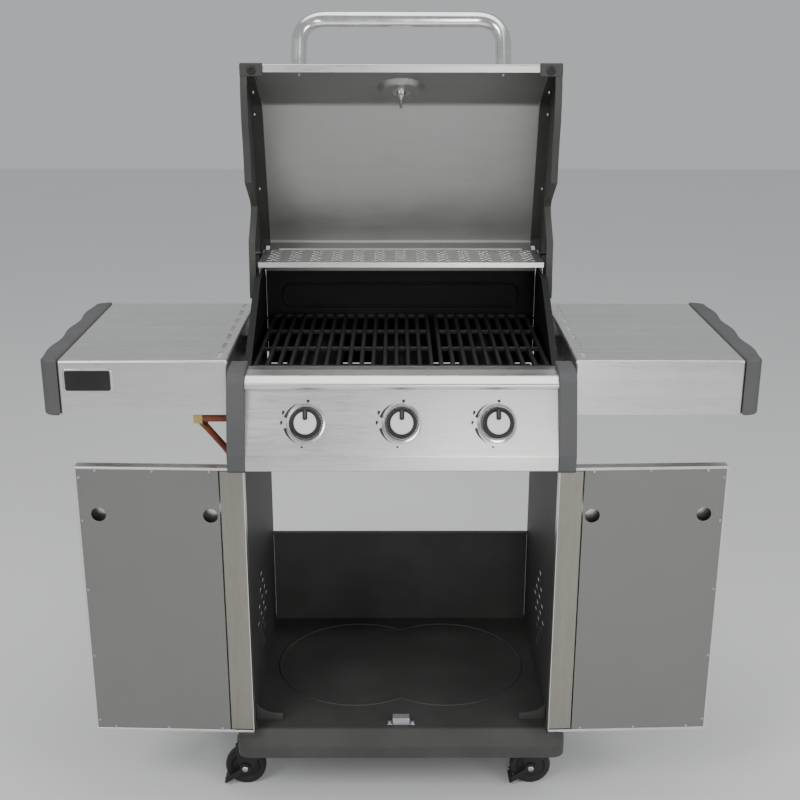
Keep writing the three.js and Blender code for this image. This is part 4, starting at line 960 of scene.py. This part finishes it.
# %% Corner caps, bolts and screws of the lid
for word, s in (("left", -1), ("right", 1)):
    rim_box = box_outline((238, 277.5), (32.2, 54), 3, 4)
    foot_box = box_outline((239, 276.5), (33.2, 53), 2.4, 4)
    corner = lofted([(rim_box, 823.6), (rim_box, 820.4), (foot_box, 819.4)])
    front = moved(pushed_z(box_outline((238, 277.5), (-1, 22), 3, 4), -0.6, 1.4), lambda p: on_lid(p, 0))
    both = moved(mirrored(together(corner, front), s), opened)
    made(f"lid_corner_{word}", both, charcoal, "lid", "charcoal_paint", edge=0.5)
    head_profile = [(0, 0), (7.5, 0), (7.5, 2.2), (5.5, 3.0), (3.2, 3.0), (2.6, 1.4), (0, 1.4)]
    head = turned(rounded(head_profile, 0.4, 2), 36)
    bolt = moved(facing(head, (s * 257, 43.5, 819.5), (0, 0, -1)), opened)
    made(f"lid_bolt_{word}", bolt, black_plastic, "lid", "black_plastic", (), 40)
    studs = [facing(screw(3.0, 2), (s * 256.9, y, z), (-s, 0, 0))
             for y, z in ((281, 1240), (288, 1202), (330, 1067))]
    pair = [facing(screw(4, 2.2), (s * HANDLE_HALF, d, -1.2), (0, 0, -1)) for d in (-8, 8)]
    handle_screws = [moved(one, lambda p: opened(on_lid(p, HANDLE_UP))) for one in pair]
    made(f"lid_screws_{word}", together(*studs, *handle_screws), zinc, "lid", "zinc_steel")
print("lid", len(MADE))

# %% [markdown]
# ## The doors
# A door is a folded stainless tray with a grey liner screwed into its open side. It is drawn closed, with
# its pin at x = 0, and turned open by 182 degrees.

# %% Doors
PIN_X, TAIL, REACH, FOOT, HEAD = 272, 12, 270, 157, 660
GRIPS, GRIP_Z = (46, 234), 574


def on_door(points, s):
    """Takes closed-door points to the open door on side s: mirrored, turned and carried to its pin."""
    p = np.asarray(points, float) * [-s, 1, 1]
    a = math.radians(s * 182)
    return np.stack([s * PIN_X + p[..., 0] * math.cos(a) - p[..., 1] * math.sin(a),
                     -10 + p[..., 0] * math.sin(a) + p[..., 1] * math.cos(a), p[..., 2]], -1)


def door_ring(inset, y):
    return box_outline((-TAIL + inset, REACH - inset), (FOOT + inset, HEAD - inset), 3.2 - inset * 0.5, 4), y


for word, s in (("left", -1), ("right", 1)):
    def hang(name, part, material, slot, replaces=(), smooth=35, edge=0):
        opened_part = moved(part, lambda p: on_door(p, s))
        return made(name, opened_part, material, f"door_{word}", slot, replaces, smooth, edge)

    front = [door_ring(3 * (1 - math.cos(a)), -7 - 3 * math.sin(a)) for a in np.linspace(0, math.pi / 2, 5)]
    tray = lofted([door_ring(1.2, -8.8), door_ring(1.2, 10), door_ring(0, 10), *front])
    pins = [turned([(0, a), (4, a), (4, b), (0, b)], 24)
            for a, b in ((FOOT - 4.5, FOOT + 2), (HEAD - 2, HEAD + 5.5))]
    skin_part = together(moved(tray, lambda p: p[:, [0, 2, 1]]), *pins)
    hang(f"door_{word}_tray", skin_part, stainless_up, "stainless", [f"door_{word}_skin"])
    hem = [block((2 - TAIL, REACH - 1.4), (7.4, 10.6), (FOOT + 1.2, FOOT + 4.8)),
           block((2 - TAIL, REACH - 1.4), (7.4, 10.6), (HEAD - 4.8, HEAD - 1.2)),
           block((REACH - 3.8, REACH - 1.2), (7.4, 10.4), (FOOT + 1.5, HEAD - 1.5))]
    hang(f"door_{word}_hems", together(*hem), stainless_up, "stainless", (), 35, 0.5)
    fold_line = [(0.6 - TAIL, 10), (0.6 - TAIL, 8.4), (24.5, 8.4), (24.5, 2), (28, 2), (28, 10)]
    fold = pushed_z(rounded(fold_line, 1.0, 3, True), FOOT + 7, HEAD - 6)
    # the folded strip gets the stainless darkened into painted shade
    hang(f"door_{word}_strip", fold, hinge_strip_shaded_steel, "stainless")
    dressed(f"door_{word}_liner", "liner_steel", 0.35)
    spots = [(x, z) for z in (164.5, 652.5) for x in (45, 140, 235)]
    spots += [(REACH - 7.5, z) for z in (178, 306, 434, 562, 640)]
    heads = together(*[facing(screw(2.6, 1.6), (x, 9.9, z), (0, 1, 0)) for x, z in spots])
    hang(f"door_{word}_screws", heads, zinc, "zinc_steel")
    low, high = GRIPS[0] - 20, GRIPS[1] + 14
    grip_profile = [(0, low), (7.6, low), (9, low + 1.6), (9, high - 1.6), (7.6, high), (0, high)]
    bar = moved(turned(rounded(grip_profile, 0.8, 3), 40),
                lambda p: np.stack([p[:, 2], -48.3 + p[:, 0], GRIP_Z + p[:, 1]], -1))
    post_profile = [(0, 10.3), (9, 10.3), (9, 12.5), (6.5, 15.5), (6, 19.5), (6, 46.5), (0, 46.5)]
    post = turned(rounded(post_profile, 0.8, 3), 28)
    posts = [moved(post, lambda p, x=x: np.stack([x + p[:, 0], -p[:, 2], GRIP_Z + p[:, 1]], -1))
             for x in GRIPS]
    hang(f"door_{word}_bar", together(bar, *posts), chrome, "chrome", [f"door_{word}_handle"], 40)

# %% [markdown]
# ## Last count
# The pieces made are counted.

# %% Count the pieces
print(len(MADE), "pieces made")
